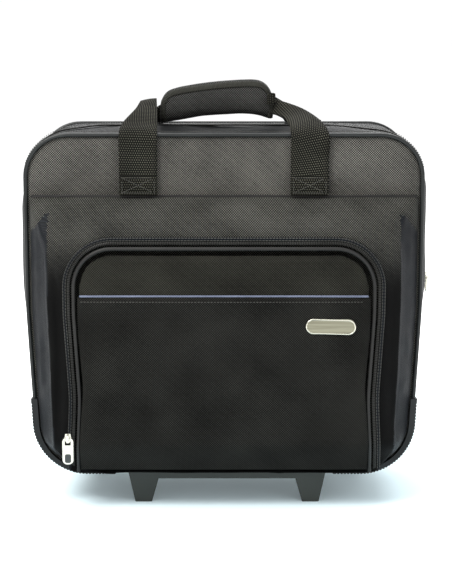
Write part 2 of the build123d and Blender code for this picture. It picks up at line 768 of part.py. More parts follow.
for side, tag in zip(SIDES, ("left", "right")):
    x = side * TUBE_X
    with BuildPart() as outer_tube:
        add(tube(x, OUTER_TUBE, OUTER_WALL, TUBE_FOOT_Z, OUTER_TOP_Z))
    export(outer_tube, "outer_tube_" + tag)
    with BuildPart() as mid_tube:
        add(tube(x, MID_TUBE, MID_WALL, TUBE_FOOT_Z + 4.0, MID_TOP_Z))
    export(mid_tube, "mid_tube_" + tag)
    with BuildPart() as inner_tube:
        add(tube(x, INNER_TUBE, INNER_WALL, TUBE_FOOT_Z + 8.0, INNER_TOP_Z))
    export(inner_tube, "inner_tube_" + tag)

with BuildPart() as tube_collars:
    for side in SIDES:
        add(tube_block(side, COLLAR, 0.0, COLLAR_Z, COLLAR_Z + COLLAR_H, 2.0))
        add(tube_block(side, INNER_TUBE, 2 * TUBE_CLEARANCE, 0.0, FAR), mode=Mode.SUBTRACT)
export(tube_collars, "tube_collars")

with BuildPart() as trolley_foot:
    foot_low = (-TUBE_X - 16.0, BACK_Y + 1.0, TUBE_FOOT_Z - 8.0)
    foot_high = (TUBE_X + 16.0, TROLLEY_FOOT_BACK_Y, TUBE_FOOT_Z - 8.0 + TROLLEY_FOOT_H)
    add(box_between(foot_low, foot_high, 3.0))
    socket_z = TUBE_FOOT_Z - TUBE_CLEARANCE
    for side in SIDES:
        add(tube_block(side, OUTER_TUBE, TUBE_CLEARANCE, socket_z, FAR), mode=Mode.SUBTRACT)
    with Locations(front_plane(TROLLEY_FOOT_BACK_Y + 1.0)):
        with Locations((-FOOT_SCREW_X, FOOT_SCREW_Z), (FOOT_SCREW_X, FOOT_SCREW_Z)):
            CounterBoreHole(radius=2.1, counter_bore_radius=4.2, counter_bore_depth=2.0, depth=30.0)
export(trolley_foot, "trolley_foot")


HEAD_T = 2.0
CROSS_L = 4.4
CROSS_W = 0.9


def screw(x, y, z, length, head_r=3.8, shank_r=2.0):
    """Pan-head screw pointing into the case along -Y, with a cross slot in its head."""
    with BuildPart() as item:
        with BuildSketch(front_plane(y)):
            with Locations((x, z)):
                Circle(shank_r)
        extrude(amount=length)
        with BuildSketch(front_plane(y + HEAD_T)):
            with Locations((x, z)):
                Circle(head_r)
        extrude(amount=HEAD_T)
        with BuildSketch(front_plane(y + HEAD_T)):
            with Locations((x, z)):
                Rectangle(CROSS_L, CROSS_W)
                Rectangle(CROSS_W, CROSS_L)
        extrude(amount=HEAD_T * 0.6, mode=Mode.SUBTRACT)
    return item.part


with BuildPart() as trolley_bezel:
    bezel_low = (-COVER_HALF_W, BACK_Y + 0.3, OUTER_TOP_Z - BEZEL_SKIRT)
    bezel_high = (COVER_HALF_W, COVER_BACK_Y + 1.0, OUTER_TOP_Z + 3.0)
    add(box_between(bezel_low, bezel_high, 5.0))
    tray_low = (-GRIP_HALF_W - 3.0, BACK_Y + 2.0, OUTER_TOP_Z)
    tray_high = (GRIP_HALF_W + 3.0, COVER_BACK_Y - 1.2, FAR)
    add(box_between(tray_low, tray_high), mode=Mode.SUBTRACT)
    hollow_low = (-TUBE_X + 20.0, BACK_Y + 2.3, 0.0)
    hollow_high = (TUBE_X - 20.0, COVER_BACK_Y - 1.5, OUTER_TOP_Z - 3.0)
    add(box_between(hollow_low, hollow_high), mode=Mode.SUBTRACT)
    for side in SIDES:
        add(tube_block(side, OUTER_TUBE, TUBE_CLEARANCE, 0.0, FAR), mode=Mode.SUBTRACT)
export(trolley_bezel, "trolley_bezel")

with BuildPart() as trolley_cover:
    low = (-COVER_HALF_W, BACK_Y + 0.3, TUBE_FOOT_Z - 12.0)
    high = (COVER_HALF_W, COVER_BACK_Y, OUTER_TOP_Z - BEZEL_SKIRT - 0.5)
    add(box_between(low, high, 5.0))
    inner_low = (low[0] + COVER_T, low[1] - 1.0, low[2] + COVER_T)
    inner_high = (high[0] - COVER_T, high[1] - COVER_T, high[2] + 1.0)
    add(box_between(inner_low, inner_high), mode=Mode.SUBTRACT)
export(trolley_cover, "trolley_cover")

GRIP_MID_Y = (GRIP_Y0 + GRIP_Y1) / 2


def yoke_block(side_grow, half_depth, z0, z1):
    """Block along the button's yoke, across both tubes."""
    half_w = TUBE_X + side_grow
    return box_between((-half_w, GRIP_MID_Y - half_depth, z0), (half_w, GRIP_MID_Y + half_depth, z1))


def button_block(grow, z0, z1, radius=0.0):
    """Block round the release button."""
    half_w = BUTTON_HALF_W + grow
    half_d = BUTTON_DEPTH / 2 + grow
    return box_between((-half_w, GRIP_MID_Y - half_d, z0), (half_w, GRIP_MID_Y + half_d, z1), radius)


def grip_block(y0, y1):
    """Half of the grip, hollow along the rods' yoke and open above for the button."""
    with BuildPart() as half:
        with BuildSketch(front_plane(y1)):
            with Locations((0, (GRIP_BOTTOM_Z + GRIP_TOP_Z) / 2)):
                RectangleRounded(2 * GRIP_HALF_W, GRIP_TOP_Z - GRIP_BOTTOM_Z, 9.0)
        extrude(amount=y1 - y0)
        for side in SIDES:
            socket_top_z = INNER_TOP_Z + TUBE_CLEARANCE
            add(tube_block(side, INNER_TUBE, TUBE_CLEARANCE / 2, 0.0, socket_top_z), mode=Mode.SUBTRACT)
            rod_x0 = side * TUBE_X - ROD_SLOT_HALF_W
            rod_x1 = side * TUBE_X + ROD_SLOT_HALF_W
            slot_back_y = GRIP_MID_Y + YOKE_DEPTH / 2 + 1.0
            slot_front_y = TUBE_Y - INNER_TUBE[1] / 2
            rod_slot = box_between((rod_x0, slot_front_y, INNER_TOP_Z - 1.0), (rod_x1, slot_back_y, YOKE_Z0))
            add(rod_slot, mode=Mode.SUBTRACT)
        add(yoke_block(6.0, YOKE_DEPTH / 2 + 1.0, YOKE_Z0 - 5.0, YOKE_Z1 + 1.0), mode=Mode.SUBTRACT)
        add(button_block(BUTTON_CLEARANCE, YOKE_Z0, FAR), mode=Mode.SUBTRACT)
        with BuildSketch(front_plane(y1 + 1.0)):
            with Locations((-GRIP_SCREW_X, GRIP_SCREW_Z), (GRIP_SCREW_X, GRIP_SCREW_Z)):
                Circle(1.7)
        extrude(amount=y1 - y0 + 2.0, mode=Mode.SUBTRACT)
    return half.part


with BuildPart() as grip_front:
    add(grip_block(GRIP_Y0, GRIP_MID_Y))
    fillet(grip_front.faces().sort_by(Axis.Y)[0].outer_wire().edges(), GRIP_EDGE_R)
export(grip_front, "grip_front")

with BuildPart() as grip_rear:
    add(grip_block(GRIP_MID_Y + 0.05, GRIP_Y1))
    fillet(grip_rear.faces().sort_by(Axis.Y)[-1].outer_wire().edges(), GRIP_EDGE_R)
export(grip_rear, "grip_rear")

with BuildPart() as release_button:
    add(button_block(0.0, YOKE_Z1 + 0.5, GRIP_TOP_Z + 2.0, 3.0))
    fillet(release_button.faces().sort_by(Axis.Z)[-1].edges(), 1.0)
export(release_button, "release_button")

with BuildPart() as button_yoke:
    add(yoke_block(2.0, YOKE_DEPTH / 2, YOKE_Z0, YOKE_Z1))
export(button_yoke, "button_yoke")

with BuildPart() as release_rods:
    for side in SIDES:
        with BuildSketch(Plane.XY.offset(ROD_FOOT_Z)):
            with Locations((side * TUBE_X, TUBE_Y)):
                Circle(ROD_R)
        extrude(amount=YOKE_Z0 - ROD_FOOT_Z)
export(release_rods, "release_rods")

SPRING_R = 2.2
SPRING_WIRE_R = 0.35
SPRING_PITCH = 1.0
SPRING_H = 3.6
SPRING_Z0 = YOKE_Z0 - 4.5
with BuildPart() as button_spring:
    with BuildLine() as coil:
        Helix(pitch=SPRING_PITCH, height=SPRING_H, radius=SPRING_R, center=(0, GRIP_MID_Y, SPRING_Z0))
    with BuildSketch(Plane(origin=coil.line @ 0, z_dir=coil.line % 0)):
        Circle(SPRING_WIRE_R)
    sweep(path=coil.line, is_frenet=True)
export(button_spring, "button_spring")

with BuildPart() as grip_screws:
    for side in SIDES:
        add(screw(side * GRIP_SCREW_X, GRIP_Y1, GRIP_SCREW_Z, 12.0, head_r=2.6, shank_r=1.5))
export(grip_screws, "grip_screws")

with BuildPart() as foot_screws:
    for side in SIDES:
        add(screw(side * FOOT_SCREW_X, TROLLEY_FOOT_BACK_Y - 1.0, FOOT_SCREW_Z, 14.0))
export(foot_screws, "foot_screws")

# ---- zipper sliders and pulls ------------------------------------------------------------------------

SLIDER_W = 7.6
SLIDER_T = 2.0
SLIDER_SLOT = 2.5
BRIDGE_W = 2.2
BRIDGE_T = 0.8
PULL_STAND_OFF = 2.5
PULL_DROP = 1.1
PULL_W = 11.0
PULL_R = 4.8
PULL_WINDOW_W = 6.0
PULL_WINDOW_END = -7.9
PIN_DROP = 1.4
PIN_R = 0.7
INSERT_W = 6.1
INSERT_H = 8.9
INSERT_UP = 6.0


def slider_body(origin, outward, across):
    """Slider seen from outside: a stepped plate with a bridge that carries the pull."""
    face = Plane(origin=origin, x_dir=across, z_dir=outward)
    with BuildPart() as item:
        with BuildSketch(face):
            with BuildLine():
                Polyline(
                    (-2.6, 4.5), (2.6, 4.5), (3.0, 1.6), (SLIDER_W / 2, 0.0), (2.9, -2.2), (1.6, -4.5),
                    (-1.6, -4.5), (-2.9, -2.2), (-SLIDER_W / 2, 0.0), (-3.0, 1.6), close=True,
                )
            make_face()
        extrude(amount=SLIDER_T)
        with BuildSketch(face.offset(SLIDER_T)):
            with Locations((0, 2.4)):
                Rectangle(BRIDGE_W, 2.2)
            with Locations((0, -3.4)):
                Rectangle(BRIDGE_W, 1.4)
        extrude(amount=SLIDER_SLOT)
        with BuildSketch(face.offset(SLIDER_T + SLIDER_SLOT)):
            with Locations((0, -0.3)):
                Rectangle(BRIDGE_W, SLIDER_W)
        extrude(amount=BRIDGE_T)
    return item.part


def pull_body(origin, outward, across, length):
    """Flat pull: a long ring whose round pin hangs in the slider's bridge."""
    face = Plane(origin=origin, x_dir=across, z_dir=outward)
    with BuildPart() as item:
        with BuildSketch(face):
            with Locations((0, -length / 2)):
                RectangleRounded(PULL_W, length, PULL_R)
            with Locations((0, PULL_WINDOW_END / 2)):
                Rectangle(PULL_WINDOW_W, -PULL_WINDOW_END, mode=Mode.SUBTRACT)
            with Locations((0, -length + INSERT_UP)):
                RectangleRounded(INSERT_W + 0.1, INSERT_H + 0.1, 2.0, mode=Mode.SUBTRACT)
        extrude(amount=PULL_T)
        pin_centre = face.offset(PULL_T / 2).location * Location((0, -PIN_DROP, 0))
        pin_plane = Plane(origin=pin_centre.position, z_dir=face.x_dir)
        with BuildSketch(pin_plane.offset(-PULL_WINDOW_W / 2 - 0.5)):
            Circle(PIN_R)
        extrude(amount=PULL_WINDOW_W + 1.0)
    return item.part


def pull_insert(origin, outward, across, length):
    """Rubber pad held in the lower window of a pull."""
    face = Plane(origin=origin, x_dir=across, z_dir=outward)
    with BuildPart() as item:
        with BuildSketch(face.offset(-0.2)):
            with Locations((0, -length + INSERT_UP)):
                RectangleRounded(INSERT_W, INSERT_H, 1.95)
        extrude(amount=PULL_T + 0.4)
    return item.part


PULL_LENGTH = 27.5
SIDE_PULL_LENGTH = 18.5
FRONT_SLIDER_AT = (FRONT_SLIDER_X, POCKET_FACE_Y - 1.4, FRONT_SLIDER_Z)
FRONT_PULL_AT = (FRONT_SLIDER_X, FRONT_SLIDER_AT[1] - PULL_STAND_OFF, FRONT_SLIDER_Z + PULL_DROP)
FRONT_OUT = (0, -1, 0)
FRONT_ACROSS = (1, 0, 0)

with BuildPart() as front_slider:
    add(slider_body(FRONT_SLIDER_AT, FRONT_OUT, FRONT_ACROSS))
export(front_slider, "front_slider")

with BuildPart() as front_pull:
    add(pull_body(FRONT_PULL_AT, FRONT_OUT, FRONT_ACROSS, PULL_LENGTH))
export(front_pull, "front_pull")

with BuildPart() as front_pull_insert:
    add(pull_insert(FRONT_PULL_AT, FRONT_OUT, FRONT_ACROSS, PULL_LENGTH))
export(front_pull_insert, "front_pull_insert")

SIDE_X = PANEL_HALF_W + SIDE_BULGE + BAND_OUT + 0.2
SIDE_SLIDER_AT = (SIDE_X, ZIP_Y + 1.0, SIDE_SLIDER_Z)
SIDE_PULL_AT = (SIDE_X + PULL_STAND_OFF, ZIP_Y + 1.0, SIDE_SLIDER_Z + PULL_DROP)
SIDE_OUT = (1, 0, 0)
SIDE_ACROSS = (0, 1, 0)

with BuildPart() as side_slider:
    add(slider_body(SIDE_SLIDER_AT, SIDE_OUT, SIDE_ACROSS))
export(side_slider, "side_slider")

with BuildPart() as side_pull:
    add(pull_body(SIDE_PULL_AT, SIDE_OUT, SIDE_ACROSS, SIDE_PULL_LENGTH))
export(side_pull, "side_pull")
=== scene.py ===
import math

import bmesh
import bpy
from mathutils import Matrix, Vector, noise


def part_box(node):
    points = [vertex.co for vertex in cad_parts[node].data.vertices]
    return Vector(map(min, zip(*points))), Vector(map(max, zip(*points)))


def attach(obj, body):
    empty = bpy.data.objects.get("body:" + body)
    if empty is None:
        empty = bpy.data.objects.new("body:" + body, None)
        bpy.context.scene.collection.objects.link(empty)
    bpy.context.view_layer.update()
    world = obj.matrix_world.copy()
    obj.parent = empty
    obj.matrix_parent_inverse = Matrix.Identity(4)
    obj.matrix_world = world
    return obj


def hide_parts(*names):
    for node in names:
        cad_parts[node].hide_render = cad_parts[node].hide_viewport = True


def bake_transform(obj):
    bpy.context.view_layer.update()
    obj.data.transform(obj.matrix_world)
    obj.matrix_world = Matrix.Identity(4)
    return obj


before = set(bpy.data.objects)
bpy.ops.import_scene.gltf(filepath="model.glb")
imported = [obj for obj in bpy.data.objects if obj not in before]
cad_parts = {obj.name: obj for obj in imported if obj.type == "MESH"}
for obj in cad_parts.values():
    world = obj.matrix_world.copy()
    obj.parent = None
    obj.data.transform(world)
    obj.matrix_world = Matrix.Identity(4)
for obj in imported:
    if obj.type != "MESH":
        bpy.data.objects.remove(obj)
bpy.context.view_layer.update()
MM = 0.001
FORWARD = Vector((0, -1, 0))

# ---- places taken from the frame ---------------------------------------------------------------

PIPE_LOW, PIPE_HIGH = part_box("front_piping")
FLAP_LOW, FLAP_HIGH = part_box("flap_panel")
POCKET_LOW, POCKET_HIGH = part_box("front_pocket")
WRAP_LOW, WRAP_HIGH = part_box("handle_wrap")
COVER_LOW, COVER_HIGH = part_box("trolley_cover")
SHELL_LOW, SHELL_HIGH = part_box("rear_shell")
HOUSING_LOW, HOUSING_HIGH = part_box("wheel_housing_right")
BADGE_LOW, BADGE_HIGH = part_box("badge")
SLIP_LOW, SLIP_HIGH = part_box("slip_pocket")
BAND_LOW, BAND_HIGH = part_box("main_zipper_rear")
FRONT_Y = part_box("front_shell")[0].y
BACK_Y = SHELL_HIGH.y
ZIP_Y = BAND_LOW.y - 0.6 * MM
SPLIT_Z = BAND_LOW.z - 2 * MM
FACE_Y = POCKET_LOW.y

# Body outline: corners and corner radii, as in the CAD body
HALF_W = PIPE_HIGH.x - 4.5 * MM
FOOT_HALF_W = HALF_W - 8.9 * MM
TOP_Z = PIPE_HIGH.z - 4.5 * MM
BOTTOM_Z = PIPE_LOW.z + 4.0 * MM
KNEE_Z = 205 * MM
TOP_R = 40 * MM
KNEE_R = 260 * MM
FOOT_R = 50 * MM
SIDE_BULGE = 11 * MM
TOP_CROWN = 9.5 * MM
REAR_GROW = 4 * MM
REAR_RISE = 4.5 * MM


# ---- outlines and mesh helpers -------------------------------------------------------------------


def rounded(corners, radii, step=3 * MM, closed=True):
    """Points along a polygon with rounded corners, in order, about step apart."""
    count = len(corners)
    points = []
    for index in range(count):
        here = Vector(corners[index])
        if not closed and index in (0, count - 1):
            points.append(here)
            continue
        before = (Vector(corners[index - 1]) - here).normalized()
        after = (Vector(corners[(index + 1) % count]) - here).normalized()
        half = before.angle(after) / 2
        radius = radii[index] if closed else radii[index - 1]
        reach = radius / math.tan(half)
        centre = here + (before + after).normalized() * (radius / math.sin(half))
        start = here + before * reach - centre
        turn = math.pi - 2 * half
        sign = 1 if before.x * after.y - before.y * after.x < 0 else -1
        steps = max(3, int(radius * turn / step))
        for k in range(steps + 1):
            points.append(centre + Matrix.Rotation(sign * turn * k / steps, 2) @ start)
    return resampled(points, step, closed)


def walked(points):
    """Distance from the start of a line to each of its points."""
    lengths = [0.0]
    for a, b in zip(points, points[1:]):
        lengths.append(lengths[-1] + (b - a).length)
    return lengths


def located(lengths, targets):
    """Segment and share along it for each rising distance along a line."""
    segment = 0
    for target in targets:
        while segment < len(lengths) - 2 and lengths[segment + 1] < target:
            segment += 1
        yield segment, (target - lengths[segment]) / (lengths[segment + 1] - lengths[segment] or 1.0)


def spaced(line, count, found_count):
    """The first found_count points of a line cut into count even steps."""
    lengths = walked(line)
    targets = [lengths[-1] * k / count for k in range(found_count)]
    return [line[at].lerp(line[at + 1], share) for at, share in located(lengths, targets)]


def resampled(points, step, closed):
    """The same line with evenly spaced points."""
    line = points + [points[0]] if closed else points
    count = max(4, round(walked(line)[-1] / step))
    return spaced(line, count, count if closed else count + 1)


def body_outline(grow=0.0, bulge=0.0, crown=0.0, step=4 * MM):
    """Points of the body's front outline, as (x, z), starting at the left of the bottom edge."""
    foot = FOOT_HALF_W + grow
    half = HALF_W + grow + bulge
    top = TOP_Z + grow + crown
    bottom = BOTTOM_Z - grow * 0.8
    corners = [(-foot, bottom), (foot, bottom), (half, KNEE_Z), (half, top), (-half, top), (-half, KNEE_Z)]
    radii = [FOOT_R + grow, FOOT_R + grow, KNEE_R, TOP_R + grow, TOP_R + grow, KNEE_R]
    return rounded(corners, radii, step)


def body_sections(count_outline=440):
    """Three matching outlines of the body: front, zipper and back, with the same number of points."""
    front = body_outline(1.6 * MM)
    middle = body_outline(0.0, SIDE_BULGE, TOP_CROWN)
    rear = body_outline(REAR_GROW, 0.0, REAR_RISE)
    front, middle, rear = [recounted(line, count_outline) for line in (front, middle, rear)]
    tucked = []
    for flat, wide in zip(front, middle):
        corner = step_between(105 * MM, 178 * MM, abs(flat.x)) * step_between(300 * MM, 352 * MM, flat.y)
        tucked.append(wide.lerp(flat, 0.72 * corner))
    return front, tucked, rear


def recounted(points, count):
    """A closed line with an exact number of evenly spaced points."""
    return spaced(points + [points[0]], count, count)


def new_mesh(name, verts, faces, uvs=None):
    """A smooth-shaded mesh object; uvs give one (u, v) in metres for each vertex."""
    mesh = bpy.data.meshes.new(name)
    mesh.from_pydata([tuple(v) for v in verts], [], faces)
    mesh.update()
    if uvs:
        layer = mesh.uv_layers.new(name="cloth")
        for loop in mesh.loops:
            layer.data[loop.index].uv = uvs[loop.vertex_index]
    for polygon in mesh.polygons:
        polygon.use_smooth = True
    item = bpy.data.objects.new(name, mesh)
    bpy.context.scene.collection.objects.link(item)
    return item


def grid_faces(rows, columns, closed=False):
    """Quads between rows of vertices; closed joins the last row to the first."""
    faces = []
    for i in range(rows if closed else rows - 1):
        for j in range(columns - 1):
            a = i * columns + j
            b = ((i + 1) % rows) * columns + j
            faces.append((a, b, b + 1, a + 1))
    return faces


def tube_faces(rows, around, first=0):
    """Quads round a tube of rings, without its ends."""
    faces = []
    for row in range(rows - 1):
        for side in range(around):
            a = first + row * around + side
            b = first + row * around + (side + 1) % around
            faces.append((a, b, b + around, a + around))
    return faces


def tangent(points, k):
    """Direction of a line at one of its points."""
    return (points[min(k + 1, len(points) - 1)] - points[max(k - 1, 0)]).normalized()


def faced_out(item):
    """Make a closed mesh's faces look outwards."""
    bm = bmesh.new()
    bm.from_mesh(item.data)
    bmesh.ops.recalc_face_normals(bm, faces=bm.faces)
    bm.to_mesh(item.data)
    bm.free()
    return item


def apply_modifiers(item):
    """Turn an object's modifiers into plain mesh."""
    bpy.context.view_layer.update()
    graph = bpy.context.evaluated_depsgraph_get()
    mesh = bpy.data.meshes.new_from_object(item.evaluated_get(graph), preserve_all_data_layers=True,
                                           depsgraph=graph)
    item.modifiers.clear()
    old = item.data
    item.data = mesh
    bpy.data.meshes.remove(old)
    for polygon in item.data.polygons:
        polygon.use_smooth = True
    return item


def thicken(item, amount, offset=-1.0):
    """Give a single sheet a thickness, inwards when offset is -1."""
    solid = item.modifiers.new("thickness", "SOLIDIFY")
    solid.thickness = amount
    solid.offset = offset
    solid.use_even_offset = False
    return apply_modifiers(item)


def turned_out(item, inside):
    """Make the faces of an open sheet look away from the point inside."""
    mesh = item.data
    total = 0.0
    for polygon in mesh.polygons:
        total += polygon.normal.dot(polygon.center - Vector(inside)) * polygon.area
    if total < 0:
        mesh.flip_normals()
    return item


def fuzz(point, scale, amount, seed=0.0):
    """Smooth signed unevenness of cloth at a point."""
    return amount * noise.noise(Vector(point) / scale + Vector((seed, seed * 0.7, seed * 1.3)))


def step_between(low, high, value):
    """0 below low, 1 above high, smooth between."""
    t = min(1.0, max(0.0, (value - low) / (high - low)))
    return t * t * (3 - 2 * t)


def finish_piece(item, body, slot, material, *nodes):
    """Material, body and replaced nodes of one piece; slot is not used."""
    item.data.materials.clear()
    item.data.materials.append(material)
    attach(item, body)
    if nodes:
        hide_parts(*nodes)
    return item


# ---- materials -------------------------------------------------------------------------------------

SHEEN = 0.02
SHEEN_ROUGHNESS = 0.45
WEAVE_PITCH = 1.2 * MM
NYLON_PITCH = 0.8 * MM


class Graph:
    """Short names for making a material's nodes."""

    def __init__(self, name, roughness=0.7, metallic=0.0, gloss=0.5):
        self.material = bpy.data.materials.new(name)
        self.material.use_nodes = True
        self.tree = self.material.node_tree
        self.shader = self.tree.nodes["Principled BSDF"]
        self.shader.inputs["Roughness"].default_value = roughness
        self.shader.inputs["Metallic"].default_value = metallic
        self.shader.inputs["Specular IOR Level"].default_value = gloss

    def node(self, kind, **settings):
        made = self.tree.nodes.new(kind)
        for key, value in settings.items():
            setattr(made, key, value)
        return made

    def link(self, source, target):
        self.tree.links.new(source, target)

    def math(self, operation, first, second=None):
        made = self.node("ShaderNodeMath", operation=operation)
        for socket, value in zip(made.inputs, (first, second)):
            if isinstance(value, (int, float)):
                socket.default_value = value
            elif value is not None:
                self.link(value, socket)
        return made.outputs[0]

    def plus(self, first, second):
        return self.math("ADD", first, second)

    def times(self, first, second):
        return self.math("MULTIPLY", first, second)

    def place(self, uv, across="x"):
        """Two cloth coordinates in metres, from the piece's own layout or its place in space."""
        source = self.node("ShaderNodeTexCoord")
        split = self.node("ShaderNodeSeparateXYZ")
        self.link(source.outputs["UV" if uv else "Object"], split.inputs[0])
        if uv:
            return split.outputs[0], split.outputs[1], source.outputs["Object"]
        return split.outputs["xyz".index(across)], split.outputs[2], source.outputs["Object"]

    def noise(self, vector, scale, detail=3.0):
        made = self.node("ShaderNodeTexNoise")
        made.inputs["Scale"].default_value = scale
        made.inputs["Detail"].default_value = detail
        self.link(vector, made.inputs["Vector"])
        return made.outputs[0]

    def ramp(self, factor, stops):
        made = self.node("ShaderNodeValToRGB")
        elements = made.color_ramp.elements
        while len(elements) < len(stops):
            elements.new(0.5)
        for element, (position, colour) in zip(elements, stops):
            element.position = position
            element.color = (*colour, 1.0)
        self.link(factor, made.inputs[0])
        return made.outputs[0]

    def bump(self, height, distance, strength=1.0):
        made = self.node("ShaderNodeBump")
        made.inputs["Distance"].default_value = distance
        made.inputs["Strength"].default_value = strength
        self.link(height, made.inputs["Height"])
        self.link(made.outputs[0], self.shader.inputs["Normal"])

    def colour(self, socket):
        self.link(socket, self.shader.inputs["Base Color"])

    def sheen(self):
        self.shader.inputs["Sheen Weight"].default_value = SHEEN
        self.shader.inputs["Sheen Roughness"].default_value = SHEEN_ROUGHNESS
        self.shader.inputs["Sheen Tint"].default_value = (1.0, 1.0, 1.0, 1.0)


def wave(graph, value, pitch):
    """Sine of a coordinate with one full turn for each two threads."""
    return graph.math("SINE", graph.times(value, math.pi / pitch))


def between(dark, light, share):
    """Colour part of the way from dark to light."""
    return [a + (b - a) * share for a, b in zip(dark, light)]


def cloth(name, dark, light, pitch, uv=True, roughness=0.62, across="x", gloss=0.03, painted_shade_by_height=None):
    """Plain-woven cloth: bright thread crossings in dark gaps, broad uneven bands and a soft sheen; an
    optional (low z, high z, factor) adds painted shade that darkens it towards the bottom.
    """
    graph = Graph(name, roughness, gloss=gloss)
    u, v, place = graph.place(uv, across)
    threads = graph.times(wave(graph, u, pitch), wave(graph, v, pitch))
    raised = graph.plus(graph.times(threads, 0.62), 0.5)
    slant = graph.math("SINE", graph.times(graph.plus(u, graph.times(v, 1.25)), 560.0))
    worn = graph.noise(place, 22.0)
    fine = graph.noise(place, 700.0, 1.0)
    cover = graph.plus(graph.times(worn, 0.75), 0.62)
    cover = graph.plus(cover, graph.times(slant, 0.03))
    # Painted shade: below high z the colour is scaled down smoothly, to the given factor at low z and below.
    if painted_shade_by_height:
        low_z, high_z, share = painted_shade_by_height
        split = graph.node("ShaderNodeSeparateXYZ")
        graph.link(place, split.inputs[0])
        lift = graph.node("ShaderNodeMapRange", interpolation_type="SMOOTHSTEP")
        for socket, value in zip(lift.inputs[1:5], (low_z, high_z, share, 1.0)):
            socket.default_value = value
        graph.link(split.outputs[2], lift.inputs[0])
        cover = graph.times(cover, lift.outputs[0])
    tone = graph.times(raised, cover)
    tone = graph.plus(tone, graph.times(graph.math("SUBTRACT", fine, 0.5), 0.25))
    graph.colour(graph.ramp(tone, [(0.40, dark), (0.58, between(dark, light, 0.13)), (0.88, light)]))
    graph.bump(raised, 0.3 * MM, 0.8)
    graph.sheen()
    return graph.material


def ribbed_cloth(name, dark, light, pitch):
    """Webbing or binding: rows of short ribs, each row half a rib along from the last."""
    graph = Graph(name, 0.7, gloss=0.04)
    u, v, place = graph.place(True)
    row = graph.math("FLOOR", graph.math("DIVIDE", v, pitch))
    shifted = graph.plus(graph.math("DIVIDE", u, pitch), graph.times(row, 0.5))
    along = graph.math("SINE", graph.times(shifted, 2 * math.pi))
    rise = graph.math("ABSOLUTE", graph.math("SINE", graph.times(graph.math("DIVIDE", v, pitch), math.pi)))
    raised = graph.times(graph.plus(graph.times(along, 0.4), 0.6), rise)
    worn = graph.noise(place, 25.0)
    tone = graph.times(raised, graph.plus(graph.times(worn, 0.7), 0.6))
    graph.colour(graph.ramp(tone, [(0.34, dark), (0.6, between(dark, light, 0.15)), (0.92, light)]))
    graph.bump(raised, 0.35 * MM, 0.9)
    graph.sheen()
    return graph.material


def moulded(name, dark, light, roughness, grain=1500.0, metallic=0.0, depth=0.05 * MM, gloss=0.3):
    """Moulded plastic, rubber or cast metal with a fine grain and uneven tone."""
    graph = Graph(name, roughness, metallic, gloss)
    place = graph.node("ShaderNodeTexCoord").outputs["Object"]
    broad = graph.noise(place, 18.0)
    fine = graph.noise(place, grain, 2.0)
    graph.colour(graph.ramp(broad, [(0.3, dark), (0.7, light)]))
    wear = graph.plus(graph.times(fine, 0.25), roughness - 0.12)
    graph.link(wear, graph.shader.inputs["Roughness"])
    graph.bump(fine, depth, 0.6)
    return graph.material


def brushed(name, dark, light, roughness, stretch):
    """Metal with fine lines along one direction; stretch scales x, y and z."""
    graph = Graph(name, roughness, 1.0)
    source = graph.node("ShaderNodeTexCoord")
    mapping = graph.node("ShaderNodeMapping")
    mapping.inputs["Scale"].default_value = stretch
    graph.link(source.outputs["Object"], mapping.inputs[0])
    lines = graph.noise(mapping.outputs[0], 60.0, 4.0)
    graph.colour(graph.ramp(lines, [(0.25, dark), (0.75, light)]))
    graph.link(graph.plus(graph.times(lines, 0.2), roughness - 0.1), graph.shader.inputs["Roughness"])
    graph.bump(lines, 0.02 * MM, 0.5)
    return graph.material


BALLISTIC = cloth("ballistic_weave", (0.003, 0.003, 0.003), (0.150, 0.147, 0.132), WEAVE_PITCH)
FLAT_BALLISTIC = cloth("panel_weave", (0.003, 0.003, 0.003), (0.095, 0.094, 0.085), WEAVE_PITCH, uv=False)
# The pocket's cloth carries painted shade: its colour darkens below 300 mm, to 0.42 of its tone at 215 mm and
# lower.
POCKET_CLOTH = cloth("pocket_weave_painted_shade", (0.002, 0.002, 0.002), (0.092, 0.092, 0.082), WEAVE_PITCH, uv=False,
                     painted_shade_by_height=(0.215, 0.300, 0.42))
FLAP_CLOTH = cloth("flap_weave", (0.001, 0.001, 0.001), (0.042, 0.042, 0.034), WEAVE_PITCH, uv=False,
                   gloss=0.01)
SLIP_CLOTH = cloth("slip_weave", (0.001, 0.001, 0.001), (0.029, 0.029, 0.026), WEAVE_PITCH, uv=False,
                   gloss=0.01)
WRAP_CLOTH = cloth("wrap_weave", (0.002, 0.002, 0.002), (0.070, 0.071, 0.067), WEAVE_PITCH, uv=False)
SIDE_NYLON = cloth("side_nylon", (0.0015, 0.002, 0.003), (0.009, 0.011, 0.014), NYLON_PITCH, uv=False,
                   roughness=0.4, gloss=0.08,
                   across="y")
TOP_NYLON = cloth("top_nylon", (0.001, 0.0013, 0.0015), (0.009, 0.010, 0.011), NYLON_PITCH, uv=False,
                  roughness=0.5, gloss=0.03,
                  across="y")
LINING = cloth("lining_nylon", (0.05, 0.052, 0.056), (0.11, 0.112, 0.118), 0.6 * MM, uv=False, roughness=0.5)
WEBBING = ribbed_cloth("webbing_ribs", (0.002, 0.002, 0.0015), (0.072, 0.071, 0.056), 2.3 * MM)
BINDING = ribbed_cloth("binding_ribs", (0.005, 0.005, 0.004), (0.105, 0.107, 0.092), 1.3 * MM)
TAPE = ribbed_cloth("zipper_tape", (0.002, 0.002, 0.0018), (0.026, 0.027, 0.023), 0.9 * MM)
TEETH = moulded("coil_teeth", (0.012, 0.012, 0.011), (0.030, 0.030, 0.028), 0.35)
THREAD = moulded("thread", (0.02, 0.02, 0.018), (0.05, 0.05, 0.044), 0.6)
PIPING = moulded("piping_vinyl", (0.004, 0.005, 0.005), (0.010, 0.012, 0.012), 0.36, grain=700.0, gloss=0.25)
